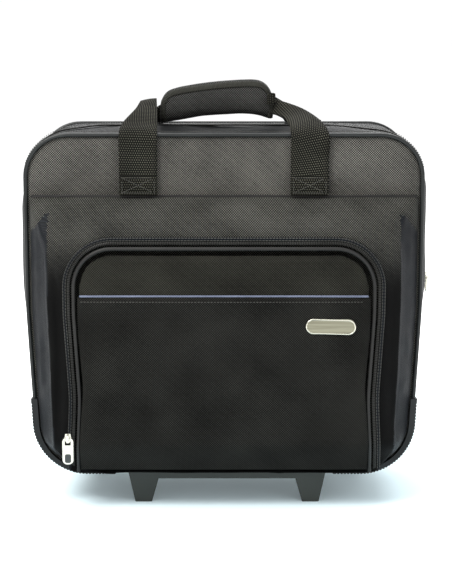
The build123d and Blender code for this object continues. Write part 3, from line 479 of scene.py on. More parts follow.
CORD = moulded("cord_vinyl", (0.003, 0.003, 0.003), (0.009, 0.009, 0.008), 0.42, gloss=0.25)
REFLECTIVE = moulded("reflective_cord", (0.06, 0.07, 0.10), (0.13, 0.15, 0.21), 0.25, metallic=0.3)
GUARD_RUBBER = moulded("guard_rubber", (0.004, 0.005, 0.005), (0.011, 0.012, 0.013), 0.5, grain=900.0,
                       gloss=0.2)
STAND_PLASTIC = moulded("stand_plastic", (0.020, 0.023, 0.020), (0.030, 0.033, 0.029), 0.5, grain=2200.0)
GRIP_PLASTIC = moulded("grip_plastic", (0.010, 0.010, 0.010), (0.018, 0.018, 0.018), 0.5)
BUTTON_PLASTIC = moulded("button_plastic", (0.12, 0.12, 0.125), (0.17, 0.17, 0.18), 0.35)
BOARD = moulded("pressed_board", (0.05, 0.048, 0.045), (0.09, 0.086, 0.08), 0.8, grain=300.0)
TYRE = moulded("tyre_rubber", (0.010, 0.010, 0.010), (0.028, 0.027, 0.026), 0.75, grain=700.0, depth=0.1 * MM)
HUB = moulded("hub_plastic", (0.06, 0.06, 0.06), (0.09, 0.09, 0.09), 0.45)
PULL_RUBBER = moulded("pull_rubber", (0.02, 0.024, 0.024), (0.035, 0.04, 0.04), 0.6)
STEEL = brushed("zinc_steel", (0.30, 0.30, 0.30), (0.48, 0.48, 0.46), 0.35, (1, 1, 6))
NICKEL = brushed("bright_nickel", (0.38, 0.37, 0.32), (0.58, 0.57, 0.51), 0.25, (1, 1, 3))
BADGE_METAL = brushed("badge_satin", (0.14, 0.135, 0.10), (0.22, 0.215, 0.16), 0.36, (0.3, 1, 9))
BADGE_RIM = brushed("badge_rim", (0.42, 0.41, 0.34), (0.56, 0.55, 0.47), 0.28, (0.3, 1, 9))
BLACK_TUBE = brushed("black_anodised", (0.015, 0.015, 0.015), (0.035, 0.035, 0.036), 0.4, (3, 3, 0.1))
TUBE = brushed("silver_anodised", (0.40, 0.40, 0.41), (0.56, 0.56, 0.57), 0.32, (3, 3, 0.1))

CAD_LOOKS = {
    PIPING: ("front_piping", "rear_piping"),
    REFLECTIVE: ("reflective_piping",),
    GUARD_RUBBER: ("corner_guard_left", "corner_guard_right"),
    STAND_PLASTIC: ("front_stand", "wheel_housing_left", "wheel_housing_right", "trolley_foot",
                    "trolley_bezel",
                    "tube_collars"),
    GRIP_PLASTIC: ("grip_front", "grip_rear", "button_yoke"),
    BUTTON_PLASTIC: ("release_button",),
    BOARD: ("base_board", "back_board"),
    TYRE: ("tyre_left", "tyre_right"),
    HUB: ("hub_left", "hub_right"),
    STEEL: ("axle_left", "axle_right", "bearings_left", "bearings_right", "foot_screws", "grip_screws",
            "release_rods", "button_spring"),
    BLACK_TUBE: ("outer_tube_left", "outer_tube_right"),
    TUBE: ("mid_tube_left", "mid_tube_right", "inner_tube_left", "inner_tube_right"),
    BADGE_METAL: ("badge",),
    NICKEL: ("front_slider", "front_pull", "side_slider", "side_pull"),
    PULL_RUBBER: ("front_pull_insert",),
}
for look, names in CAD_LOOKS.items():
    for name in names:
        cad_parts[name].data.materials.clear()
        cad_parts[name].data.materials.append(look)


# ---- camera, light and floor ---------------------------------------------------------------------

CAMERA_AT = Vector((2 * MM, FRONT_Y - 1450 * MM, 448 * MM))
CAMERA_PITCH = 8.87
PHOTO_LONG_SIDE = 584  # pixels
FOCAL_PIXELS = 1448

lens = bpy.data.cameras.new("camera")
lens.sensor_width = 36.0
lens.lens = FOCAL_PIXELS / PHOTO_LONG_SIDE * lens.sensor_width
camera = bpy.data.objects.new("camera", lens)
camera.location = CAMERA_AT
camera.rotation_euler = (math.radians(90 - CAMERA_PITCH), 0, 0)
bpy.context.scene.collection.objects.link(camera)
bpy.context.scene.camera = camera
bpy.context.scene.view_settings.view_transform = "Standard"

FLOOR_HALF = 6.0
floor = new_mesh("floor", [(-FLOOR_HALF, -FLOOR_HALF, 0), (FLOOR_HALF, -FLOOR_HALF, 0),
                           (FLOOR_HALF, FLOOR_HALF, 0), (-FLOOR_HALF, FLOOR_HALF, 0)], [(0, 1, 2, 3)])
# Painted shadow: the floor's colour is a darker blue-grey within 0.22 m of the middle under the case, fading
# to near white at 0.6 m; the floor also glows faintly blue-grey, which lifts its shadows.
floor_graph = Graph("pale_floor_painted_shadow", 0.9, gloss=0.0)
floor_place = floor_graph.node("ShaderNodeTexCoord").outputs["Object"]
painted_shadow_radius = floor_graph.node("ShaderNodeVectorMath", operation="LENGTH")
floor_graph.link(floor_place, painted_shadow_radius.inputs[0])
floor_graph.colour(floor_graph.ramp(painted_shadow_radius.outputs["Value"],
                                    [(0.22, (0.70, 0.84, 0.89)), (0.60, (0.985, 0.985, 0.985))]))
floor_graph.shader.inputs["Emission Color"].default_value = (0.10, 0.115, 0.12, 1.0)
floor_graph.shader.inputs["Emission Strength"].default_value = 1.0
floor.data.materials.append(floor_graph.material)


def area_light(name, place, target, size, power, colour=(1, 1, 1)):
    """Soft square light aimed at a point."""
    data = bpy.data.lights.new(name, "AREA")
    data.size = size
    data.energy = power
    data.color = colour
    item = bpy.data.objects.new(name, data)
    item.location = place
    item.rotation_euler = (Vector(target) - Vector(place)).to_track_quat("-Z", "Y").to_euler()
    bpy.context.scene.collection.objects.link(item)


area_light("key", (-1.2, -1.5, 2.1), (0, 0, 0.3), 1.1, 88, (1.0, 0.98, 0.95))
area_light("fill", (1.5, -1.5, 1.3), (0, 0, 0.2), 1.4, 14, (0.97, 0.98, 1.0))
area_light("top", (0.0, 0.2, 2.4), (0, 0, 0.3), 2.4, 60)
area_light("back", (0.2, 2.0, 1.4), (0, 0, 0.3), 1.6, 26)
sky = bpy.data.worlds.new("sky")
sky.use_nodes = True
sky.node_tree.nodes["Background"].inputs[0].default_value = (1.0, 1.0, 1.0, 1.0)
sky.node_tree.nodes["Background"].inputs[1].default_value = 1.02
bpy.context.scene.world = sky


# ---- case body: panels, gussets and main zipper ----------------------------------------------------

OUTLINE_COUNT = 440
FRONT_LINE, MIDDLE_LINE, REAR_LINE = body_sections(OUTLINE_COUNT)
CASE_CENTRE = Vector((0, (FRONT_Y + BACK_Y) / 2, (TOP_Z + BOTTOM_Z) / 2))
CLOTH_T = 2.4 * MM
SPLIT_FOOT_Z = 50 * MM
SPLIT_FOOT_Y = FRONT_Y + 3.4 * MM


def split_y(z):
    """Depth at which the body divides into the tipping front and the fixed rear at height z."""
    if z >= SPLIT_Z:
        return ZIP_Y
    t = max(0.0, (z - SPLIT_FOOT_Z) / (SPLIT_Z - SPLIT_FOOT_Z))
    return SPLIT_FOOT_Y + (ZIP_Y - SPLIT_FOOT_Y) * t


def body_point(index, y):
    """Point of the body's outer cloth at one outline position and depth."""
    front, middle, rear = FRONT_LINE[index], MIDDLE_LINE[index], REAR_LINE[index]
    if y <= ZIP_Y:
        t = max(0.0, (y - FRONT_Y) / (ZIP_Y - FRONT_Y))
        flat = front.lerp(middle, math.sin(t * math.pi / 2))
    else:
        t = min(1.0, (y - ZIP_Y) / (BACK_Y - ZIP_Y))
        flat = rear.lerp(middle, math.cos(t * math.pi / 2))
    place = Vector((flat.x, y, flat.y))
    puff = math.sin(math.pi * min(1.0, max(0.0, (y - FRONT_Y) / (BACK_Y - FRONT_Y))))
    side_puff = step_between(190 * MM, 235 * MM, flat.y) * (1 - step_between(300 * MM, 335 * MM, flat.y))
    shift = fuzz(place, 0.045, 2.2 * MM * puff, 3.0) + side_puff * puff * 1.8 * MM
    away = Vector((flat.x, 0, (flat.y - CASE_CENTRE.z))).normalized()
    return place + away * shift


def body_band(name, y_from, y_to, columns, keep=None):
    """Sheet round the body between two depths, each a function of height."""
    verts = []
    uvs = []
    for index in range(OUTLINE_COUNT):
        z = MIDDLE_LINE[index].y
        for column in range(columns):
            y = y_from(z) + (y_to(z) - y_from(z)) * column / (columns - 1)
            verts.append(body_point(index, y))
            uvs.append((y, index * 3.2 * MM))
    faces = grid_faces(OUTLINE_COUNT, columns, closed=True)
    if keep:
        faces = [face for face in faces if all(keep(verts[corner]) for corner in face)]
    item = new_mesh(name, verts, faces, uvs)
    return turned_out(item, CASE_CENTRE)


def outline_cap(name, line, y, crown, rings, facing):
    """Panel that fills an outline; crown(point) gives how far it stands out of its plane."""
    centre = Vector((0, CASE_CENTRE.z))
    verts = []
    for ring in range(rings):
        share = 1.0 - ring / rings
        for spot in line:
            flat = centre + (spot - centre) * share
            verts.append((flat.x, y + facing * crown(flat, share), flat.y))
    count = len(line)
    faces = []
    for ring in range(rings - 1):
        for index in range(count):
            after = (index + 1) % count
            faces.append((ring * count + index, ring * count + after, (ring + 1) * count + after,
                          (ring + 1) * count + index))
    verts.append((centre.x, y + facing * crown(centre, 0.0), centre.y))
    last = (rings - 1) * count
    for index in range(count):
        faces.append((last + index, last + (index + 1) % count, len(verts) - 1))
    item = new_mesh(name, verts, faces, [(v[0], v[2]) for v in verts])
    return turned_out(item, (0, y - facing * 0.5, CASE_CENTRE.z))


def front_crown(flat, share):
    """The front panel swells a little above the pocket, with soft puckers under the piping."""
    upper = step_between(POCKET_HIGH.z - 10 * MM, POCKET_HIGH.z + 18 * MM, flat.y)
    edge = step_between(0.0, 0.09, 1.0 - share)
    wrinkle = fuzz((flat.x, 0, flat.y * 0.6), 0.05, 1.6 * MM, 7.0)
    return edge * upper * (2.6 * MM + wrinkle)


front_panel = outline_cap("front_panel", FRONT_LINE, FRONT_Y, front_crown, 44, -1)
finish_piece(thicken(front_panel, CLOTH_T), "lid", "ballistic_nylon", BALLISTIC, "front_shell")

lid_gusset = body_band("lid_gusset", lambda z: FRONT_Y + 0.2 * MM, lambda z: split_y(z) - 0.5 * MM, 12)
finish_piece(thicken(lid_gusset, CLOTH_T), "lid", "ballistic_nylon", TOP_NYLON)


def back_crown(flat, share):
    """The back panel swells outside the trolley cover."""
    side = step_between(COVER_HIGH.x + 2 * MM, COVER_HIGH.x + 40 * MM, abs(flat.x))
    edge = step_between(0.0, 0.10, 1.0 - share)
    return side * edge * (2.0 * MM + fuzz((flat.x, 1, flat.y), 0.06, 1.2 * MM, 5.0))


def cut_block(item, low, high):
    """Take a block out of a closed mesh."""
    low, high = Vector(low), Vector(high)
    corners = [(x, y, z) for x in (low.x, high.x) for y in (low.y, high.y) for z in (low.z, high.z)]
    sides = [(0, 1, 3, 2), (4, 6, 7, 5), (0, 4, 5, 1), (2, 3, 7, 6), (0, 2, 6, 4), (1, 5, 7, 3)]
    cutter = new_mesh("cutter", corners, sides)
    trim = item.modifiers.new("cut", "BOOLEAN")
    trim.operation = "DIFFERENCE"
    trim.solver = "EXACT"
    trim.object = cutter
    apply_modifiers(item)
    bpy.data.objects.remove(cutter)
    return item


def cut_wells(item):
    """Open both rear bottom corners for the wheel housings."""
    for side in (-1, 1):
        xs = sorted((side * (HOUSING_LOW.x - 0.4 * MM), side * (HOUSING_HIGH.x + 0.4 * MM)))
        cut_block(item, (xs[0], HOUSING_LOW.y - 0.4 * MM, -0.02),
                  (xs[1], BACK_Y + 0.05, HOUSING_HIGH.z + 0.4 * MM))
    return item


case_gusset = body_band("case_gusset", lambda z: split_y(z) + 0.5 * MM, lambda z: BACK_Y - 0.2 * MM, 26)
cut_wells(thicken(case_gusset, CLOTH_T))
finish_piece(case_gusset, "case", "ballistic_nylon", TOP_NYLON, "rear_shell")

back_panel = outline_cap("back_panel", REAR_LINE, BACK_Y, back_crown, 30, 1)
cut_wells(thicken(back_panel, CLOTH_T))
finish_piece(back_panel, "case", "ballistic_nylon", FLAT_BALLISTIC)


# The zipper's line, from the right side over the top to the left side
HOOP = [Vector(spot) for spot in MIDDLE_LINE if spot.y > SPLIT_Z + 2 * MM]


def hoop_normals(points):
    """Outward directions of an open line that bows up and out."""
    found = []
    for k in range(len(points)):
        along = tangent(points, k)
        out = Vector((along.y, -along.x))
        if out.dot(points[k] - Vector((0, CASE_CENTRE.z * 0.8))) < 0:
            out = -out
        found.append(out)
    return found


def hoop_tape(name, y0, y1, out, body, node):
    """Woven zipper tape that lies on the body beside the teeth."""
    normals = hoop_normals(HOOP)
    verts = []
    uvs = []
    columns = 5
    for k, (spot, normal) in enumerate(zip(HOOP, normals)):
        for column in range(columns):
            share = column / (columns - 1)
            lift = out + 0.5 * MM * math.sin(math.pi * share)
            place = spot + normal * lift
            verts.append((place.x, y0 + (y1 - y0) * share, place.y))
            uvs.append(((y1 - y0) * share, k * 4 * MM))
    item = turned_out(new_mesh(name, verts, grid_faces(len(HOOP), columns), uvs), CASE_CENTRE)
    return finish_piece(thicken(item, 0.9 * MM), body, "zipper_tape", TAPE, node)


hoop_tape("main_tape_front", ZIP_Y - 7.5 * MM, ZIP_Y - 0.7 * MM, 1.0 * MM, "lid", "main_zipper_front")
hoop_tape("main_tape_rear", ZIP_Y + 0.7 * MM, ZIP_Y + 7.5 * MM, 1.0 * MM, "case", "main_zipper_rear")


def teeth(name, spots, normals, size, body, slot_name):
    """A row of separate moulded zipper teeth; spots are (x, y, z) and size is along, across, high."""
    verts = []
    faces = []
    for k, (spot, normal) in enumerate(zip(spots, normals)):
        along = tangent(spots, k)
        across = along.cross(normal).normalized()
        base = len(verts)
        for high, shrink in ((0.0, 1.0), (0.7, 0.9), (1.0, 0.5)):
            for a, b in ((-1, -1), (1, -1), (1, 1), (-1, 1)):
                verts.append(spot + along * (a * size[0] / 2 * shrink) + across * (b * size[1] / 2 * shrink)
                             + normal * (size[2] * high))
        faces += tube_faces(3, 4, base)
        faces.append((base + 8, base + 9, base + 10, base + 11))
        faces.append((base + 3, base + 2, base + 1, base))
    item = new_mesh(name, verts, faces)
    for polygon in item.data.polygons:
        polygon.use_smooth = False
    return finish_piece(item, body, slot_name, TEETH)


def line_spots(points, normals, pitch):
    """Evenly spaced places along a line, with the line's normal at each."""
    lengths = walked(points)
    spots = []
    directions = []
    for at, share in located(lengths, [k * pitch for k in range(int(lengths[-1] / pitch))]):
        spots.append(points[at].lerp(points[at + 1], share))
        directions.append(normals[at].lerp(normals[at + 1], share).normalized())
    return spots, directions


def hoop_teeth(name, y, shift, body):
    """One half of the main zipper's teeth."""
    normals = [Vector((n.x, 0, n.y)) for n in hoop_normals(HOOP)]
    points = [Vector((p.x, y, p.y)) + n * 1.2 * MM for p, n in zip(HOOP, normals)]
    spots, directions = line_spots(points, normals, 2.6 * MM)
    spots = [spot + (points[1] - points[0]).normalized() * shift for spot in spots]
    return teeth(name, spots, directions, (1.2 * MM, 2.2 * MM, 0.7 * MM), body, "zipper_tape")


hoop_teeth("main_teeth_front", ZIP_Y - 0.9 * MM, 0.0, "lid")
hoop_teeth("main_teeth_rear", ZIP_Y + 0.9 * MM, 1.3 * MM, "case")


def stitches(name, points, normals, body, slot_name, pitch=3.2 * MM, length=2.2 * MM, width=0.45 * MM):
    """A row of raised thread stitches along a line."""
    spots, directions = line_spots(points, normals, pitch)
    verts = []
    faces = []
    for k, (spot, normal) in enumerate(zip(spots, directions)):
        along = tangent(spots, k)
        across = along.cross(normal).normalized()
        base = len(verts)
        for share in (-1.0, -0.6, 0.6, 1.0):
            thick = width * (1.0 if abs(share) < 0.8 else 0.4)
            lift = 0.35 * MM if abs(share) < 0.8 else 0.0
            for a, b in ((-1, 0), (0, 1), (1, 0), (0, -1)):
                offset = along * (share * length / 2) + across * (a * thick)
                verts.append(spot + offset + normal * (b * thick + lift))
        faces += tube_faces(4, 4, base)
        faces.append((base + 3, base + 2, base + 1, base))
        faces.append((base + 12, base + 13, base + 14, base + 15))
    return finish_piece(new_mesh(name, verts, faces), body, slot_name, THREAD)


STITCH_LOW_Z = 345 * MM
TOP_STITCH = [spot for spot in FRONT_LINE if spot.y > STITCH_LOW_Z]
stitch_normals = [Vector((n.x, 0, n.y)) for n in hoop_normals(TOP_STITCH)]
stitch_points = [Vector((p.x, FRONT_Y + 5 * MM, p.y)) + n * 3.4 * MM for p,
                 n in zip(TOP_STITCH, stitch_normals)]
stitches("gusset_stitches", stitch_points, stitch_normals, "lid", "ballistic_nylon", 2.6 * MM, 1.8 * MM,
         0.4 * MM)


def side_web(name, side):
    """Inner cloth web that joins the tipping front to the fixed rear below the zipper's end."""
    rows = 40
    columns = 11
    half_span = 7 * MM
    lean = Vector((0, ZIP_Y - SPLIT_FOOT_Y, SPLIT_Z - SPLIT_FOOT_Z)).normalized()
    across = Vector((0, lean.z, -lean.y))
    verts = []
    uvs = []
    for row in range(rows):
        t = row / (rows - 1)
        z = SPLIT_FOOT_Z + 8 * MM + (SPLIT_Z - SPLIT_FOOT_Z - 6 * MM) * t
        middle = Vector((0, split_y(z), z))
        side_spots = [p for p in MIDDLE_LINE if p.x * side > 0 and abs(p.y - z) < 5 * MM]
        base_x = min(abs(p.x) for p in side_spots)
        share = math.sin(max(0.0, (middle.y - FRONT_Y) / (ZIP_Y - FRONT_Y)) * math.pi / 2)
        x = base_x - SIDE_BULGE * (1 - share) - CLOTH_T - 3.0 * MM
        for column in range(columns):
            s = column / (columns - 1) * 2 - 1
            verts.append(Vector((side * (x - 1.5 * MM * (1 - s * s)), 0,
                                 0)) + middle + across * (s * half_span))
            uvs.append((s * half_span, t * 0.17))
    item = thicken(new_mesh(name, verts, grid_faces(rows, columns), uvs), 0.7 * MM)
    item.data.materials.clear()
    item.data.materials.append(LINING)
    middle = Vector((0, (ZIP_Y + SPLIT_FOOT_Y) / 2, (SPLIT_Z + SPLIT_FOOT_Z) / 2))
    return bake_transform(item)


side_web("side_web_left", -1)
side_web("side_web_right", 1)


# ---- front pocket: shell, zipper, flap --------------------------------------------------------------

POCKET_COUNT = 400


def flap_line(grow, bottom, count=POCKET_COUNT, closed=True):
    """Outline of the flap, grown by grow; closed adds the straight bottom edge."""
    foot = FLAP_HIGH.x - 1.0 * MM + grow
    waist = FLAP_HIGH.x - 5.0 * MM + grow
    half = FLAP_HIGH.x + grow
    top = FLAP_HIGH.z + grow
    corners = [(foot, bottom), (waist, 120 * MM), (half, 205 * MM), (half, top),
               (-half, top), (-half, 205 * MM), (-waist, 120 * MM), (-foot, bottom)]
    radii = [200 * MM, 200 * MM, 36 * MM + grow, 36 * MM + grow, 200 * MM, 200 * MM]
    if not closed:
        return rounded(corners, radii, 1.5 * MM, closed=False)
    corner_r = 3 * MM
    return recounted(rounded([(-foot, bottom)] + corners[:-1], [corner_r, corner_r] + radii, 2 * MM), count)


def pocket_base_line():
    """Outline along which the pocket is sewn to the front panel."""
    foot = FOOT_HALF_W - 1.0 * MM
    half = HALF_W - 1.4 * MM
    corners = [(-foot, BOTTOM_Z + 0.6 * MM), (foot, BOTTOM_Z + 0.6 * MM), (half, KNEE_Z),
               (half, POCKET_HIGH.z),
               (-half, POCKET_HIGH.z), (-half, KNEE_Z)]
    radii = [FOOT_R, FOOT_R, KNEE_R, 4 * MM, 4 * MM, KNEE_R]
    return recounted(rounded(corners, radii, 2 * MM), POCKET_COUNT)


SIDE_PROFILE = [(0.0, 0.0), (0.06, 0.18), (0.20, 0.42), (0.36, 0.60), (0.46, 0.74), (0.52, 0.86),
                (0.55, 0.885),
                (0.66, 0.93), (0.82, 0.975), (1.0, 1.0)]
TOP_PROFILE = [(0.0, 0.0), (0.02, 0.10), (0.10, 0.28), (0.30, 0.56), (0.55, 0.80), (0.75, 0.92),
               (0.88, 0.975),
               (1.0, 1.0)]
BOTTOM_PROFILE = [(0.0, 0.0), (0.06, 0.40), (0.14, 0.75), (0.35, 0.93), (0.7, 0.99), (1.0, 1.0)]


# Where the pocket's side, top and foot profiles take over from each other
SIDE_ZONE_X = (150 * MM, 186 * MM)
TOP_ZONE_Z = (296 * MM, 316 * MM)
FOOT_ZONE_Z = (48 * MM, 95 * MM)


def profile_at(profile, t):
    """Position along a profile by its share of length, as (inward share, depth share)."""
    lengths = [0.0]
    for a, b in zip(profile, profile[1:]):
        lengths.append(lengths[-1] + math.hypot(b[0] - a[0], b[1] - a[1]))
    target = t * lengths[-1]
    for k in range(len(profile) - 1):
        if target <= lengths[k + 1] + 1e-9:
            share = (target - lengths[k]) / (lengths[k + 1] - lengths[k])
            return tuple(a + (b - a) * share for a, b in zip(profile[k], profile[k + 1]))
    return profile[-1]


def gathers(flat, amount):
    """Short upright puckers under the pocket's top seam."""
    near = math.exp(-abs(POCKET_HIGH.z - 5 * MM - flat.y) / (9 * MM))
    return amount * near * 1.6 * MM * math.sin(flat.x / (1.7 * MM) + 2.5 * noise.noise((flat.x * 40, 0, 1)))


def side_folds(flat, amount):
    """Long soft folds where the pocket's side gussets sag."""
    middle_x = 168 * MM if flat.x < 0 else 171 * MM
    depth = 8.0 * MM if flat.x < 0 else 3.0 * MM
    line_x = middle_x - 5 * MM * math.sin((flat.y - 60 * MM) / (75 * MM))
    valley = math.exp(-(((abs(flat.x) - line_x) / (5 * MM)) ** 2))
    reach = step_between(60 * MM, 110 * MM, flat.y) * (1 - step_between(225 * MM, 290 * MM, flat.y))
    slanted = fuzz((flat.x * 0.35, 0, flat.y + abs(flat.x) * 0.8), 0.016, 3.6 * MM, 8.0)
    outer = step_between(172 * MM, 180 * MM, abs(flat.x))
    return amount * (valley * reach * depth + slanted * outer)


def make_pocket():
    """Pocket shell: puffed side gussets with a fold, a sloping shoulder and the frame round the flap."""
    base = pocket_base_line()
    inner = flap_line(12.6 * MM, FLAP_LOW.z - 1.0 * MM)
    columns = 34
    verts = []
    uvs = []
    for index, (outer, rim) in enumerate(zip(base, inner)):
        side = step_between(*SIDE_ZONE_X, abs(outer.x))
        top = step_between(*TOP_ZONE_Z, outer.y)
        low = 1.0 - step_between(*FOOT_ZONE_Z, outer.y)
        side *= (1 - top) * (1 - low)
        weight = (side, top, max(0.0, 1 - side - top))
        for column in range(columns):
            t = column / (columns - 1)
            mixed = [0.0, 0.0]
            for share, profile in zip(weight, (SIDE_PROFILE, TOP_PROFILE, BOTTOM_PROFILE)):
                inward, depth = profile_at(profile, t)
                mixed[0] += share * inward
                mixed[1] += share * depth
            flat = outer.lerp(rim, mixed[0])
            y = FRONT_Y - 0.4 * MM + (FACE_Y - FRONT_Y) * mixed[1]
            soft = math.sin(math.pi * t)
            place = Vector((flat.x, y, flat.y))
            y += soft * (fuzz(place, 0.03, 2.2 * MM, 11.0) + fuzz(place, 0.012, 0.7 * MM, 2.0))
            y += gathers(flat, top * soft) + side_folds(flat, side * soft)
            sag = soft * fuzz(place, 0.06, 2.0 * MM, 4.0)
            verts.append((flat.x + sag, y, flat.y + sag * 0.4))
            uvs.append((index * 3.3 * MM, t * 0.05))
    item = turned_out(new_mesh("pocket_shell", verts, grid_faces(POCKET_COUNT, columns, closed=True), uvs),
                      (0, FRONT_Y + 0.05, 0.17))
    return thicken(item, 1.8 * MM)


GUSSET_X = 171 * MM
GUSSET_TOP_Z = 306 * MM
pocket_shell = make_pocket()
finish_piece(pocket_shell, "lid", "ballistic_nylon", POCKET_CLOTH, "front_pocket")
pocket_shell.data.materials.append(SIDE_NYLON)
for polygon in pocket_shell.data.polygons:
    spot = polygon.center
    edge_x = GUSSET_X + 4 * MM * step_between(60 * MM, KNEE_Z, spot.z)
    corner_z = GUSSET_TOP_Z - (abs(spot.x) - 174 * MM) * 1.1
    if abs(spot.x) > edge_x and spot.z < corner_z:
        polygon.material_index = 1

# Strip along the pocket's top seam: the seam is real, but its near-black colour is painted shade of the gap
# under the pocket's top edge.
seam_verts = []
seam_columns = 300
for column in range(seam_columns):
    x = (HALF_W - 3 * MM) * (column / (seam_columns - 1) * 2 - 1)
    dip = 0.5 * MM * noise.noise((x * 60, 3, 0))
    for up, out in ((-1.6, 0.2), (-0.8, 1.5), (0.6, 1.9), (1.9, 0.9)):
        seam_verts.append((x, FRONT_Y - out * MM, POCKET_HIGH.z + up * MM + dip))
seam = turned_out(new_mesh("pocket_top_seam_painted_shade", seam_verts, grid_faces(seam_columns, 4)), (0, 0, POCKET_HIGH.z))
finish_piece(thicken(seam, 0.8 * MM), "lid", "ballistic_nylon", CORD)


def face_ring(name, grow_in, grow_out, y, rise, body, slot_name, material, *nodes):
    """Flat band that follows the flap's sides and top, seen from the front."""
    bottom = FLAP_LOW.z
    inner = flap_line(grow_in, bottom, closed=False)
    outer = flap_line(grow_out, bottom, closed=False)
    count = 420
    columns = 6
    verts = []
    uvs = []
    for k in range(count):
        a = inner[min(len(inner) - 1, round(k * (len(inner) - 1) / (count - 1)))]
        b = outer[min(len(outer) - 1, round(k * (len(outer) - 1) / (count - 1)))]
        for column in range(columns):
            share = column / (columns - 1)
            spot = a.lerp(b, share)
            verts.append((spot.x, y - rise * math.sin(math.pi * share), spot.y))
            uvs.append((share * (grow_out - grow_in), k * 1.75 * MM))
    item = turned_out(new_mesh(name, verts, grid_faces(count, columns), uvs), (0, y + 0.5, 0.15))
    return finish_piece(thicken(item, 0.8 * MM), body, slot_name, material, *nodes)


face_ring("pocket_tape", 5.6 * MM, 13.6 * MM, FACE_Y - 1.0 * MM, 0.5 * MM, "lid", "zipper_tape", TAPE,
          "pocket_zipper")
face_ring("pocket_tape_fold", 9.8 * MM, 13.4 * MM, FACE_Y - 1.7 * MM, 0.9 * MM, "lid", "ballistic_nylon",
          SIDE_NYLON)


def ring_points(grow, y, bottom):
    """Points of the flap outline as (x, y, z), from the right foot over the top to the left foot."""
    return [Vector((p.x, y, p.y)) for p in flap_line(grow, bottom, closed=False)]


COIL_LINE = ring_points(7.6 * MM, FACE_Y - 1.6 * MM, FLAP_LOW.z + 4 * MM)
COIL_NORMALS = [FORWARD] * len(COIL_LINE)
coil_spots, coil_normals = line_spots(COIL_LINE, COIL_NORMALS, 1.7 * MM)
teeth("pocket_teeth", coil_spots, coil_normals, (0.95 * MM, 3.0 * MM, 1.1 * MM), "lid", "zipper_tape")


for tag, grow in (("inner", 10.4 * MM), ("outer", 12.8 * MM)):
    line = ring_points(grow, FACE_Y - 2.4 * MM, FLAP_LOW.z + 3 * MM)
    stitches("pocket_stitches_" + tag, line, [FORWARD] * len(line), "lid", "zipper_tape")


def twisted_cord(name, points, radius, turns_per_m, body, slot_name, material, *nodes):
    """Cord with a raised spiral, like twisted piping."""
    sides = 10
    verts = []
    travelled = 0.0
    for k, point in enumerate(points):
        along = tangent(points, k)
        front = Vector((0, -1, 0))
        across = along.cross(front).normalized()
        if k:
            travelled += (point - points[k - 1]).length
        for side in range(sides):
            angle = 2 * math.pi * side / sides
            ridge = 1.0 + 0.13 * math.cos(2 * (angle - travelled * turns_per_m * math.pi))
            verts.append(point + (across * math.cos(angle) + front * math.sin(angle)) * radius * ridge)
    faces = tube_faces(len(points), sides)
    faces.append(tuple(range(sides)))
    faces.append(tuple(reversed(range(len(verts) - sides, len(verts)))))
    return finish_piece(new_mesh(name, verts, faces), body, slot_name, material, *nodes)


flap_edge = resampled(flap_line(2.4 * MM, FLAP_LOW.z, closed=False), 0.9 * MM, False)
twisted_cord("flap_cord", [Vector((p.x, FLAP_LOW.y + 2.2 * MM, p.y)) for p in flap_edge], 2.0 * MM, 330,
             "pocket_flap", "piping_vinyl", CORD, "flap_piping")


# ---- padded pieces ------------------------------------------------------------------------------------


def slab_from_line(name, line, y_front, y_back):
    """Closed slab with an (x, z) outline between two depths; each end is a single face."""
    verts = [(p.x, y_front, p.y) for p in line] + [(p.x, y_back, p.y) for p in line]
    count = len(line)
    faces = [tuple(range(count)), tuple(reversed(range(count, 2 * count)))]
    for k in range(count):
        after = (k + 1) % count
        faces.append((k, k + count, after + count, after))
    return new_mesh(name, verts, faces)


def puffed(item, voxel, cap, pressure=4.0, smooth=1):
    """Inflate a closed mesh as cloth, move no point further than cap, and smooth it once."""
    remesh = item.modifiers.new("even", "REMESH")
    remesh.mode = "VOXEL"
    remesh.voxel_size = voxel
    apply_modifiers(item)
    start = [v.co.copy() for v in item.data.vertices]
    cloth_modifier = item.modifiers.new("cloth", "CLOTH")
    settings = cloth_modifier.settings
    settings.use_pressure = True
    settings.uniform_pressure_force = pressure
    settings.effector_weights.gravity = 0.0
    settings.quality = 4
    cloth_modifier.point_cache.frame_start = 1
    cloth_modifier.point_cache.frame_end = 20
    for number in range(1, 21):
        bpy.context.scene.frame_set(number)
    apply_modifiers(item)
    bpy.context.scene.frame_set(1)
    for vertex, before in zip(item.data.vertices, start):
        move = vertex.co - before
        if move.length > cap:
            vertex.co = before + move * (cap / move.length)
    if smooth:
        finer = item.modifiers.new("finer", "SUBSURF")
        finer.levels = smooth
        apply_modifiers(item)
    return item


FLAP_FRONT_Y = FLAP_LOW.y
flap_pad = slab_from_line("flap_pad", flap_line(-1.2 * MM, FLAP_LOW.z + 1 * MM), FLAP_FRONT_Y + 1.6 * MM,
                          FLAP_HIGH.y - 0.8 * MM)
flap_pad = puffed(flap_pad, 3.2 * MM, 2.2 * MM)
finish_piece(flap_pad, "pocket_flap", "ballistic_nylon", FLAP_CLOTH, "flap_panel")


def slip_crown(x, z):
    """Forward swell of the slip pocket's cloth."""
    across = max(0.0, 1 - (x / (FLAP_HIGH.x - 4 * MM)) ** 4)
    up = step_between(SLIP_LOW.z, SLIP_LOW.z + 30 * MM, z)
    return across * (0.4 + 0.6 * up) * 2.6 * MM + fuzz((x, 0, z), 0.07, 0.7 * MM, 9.0)


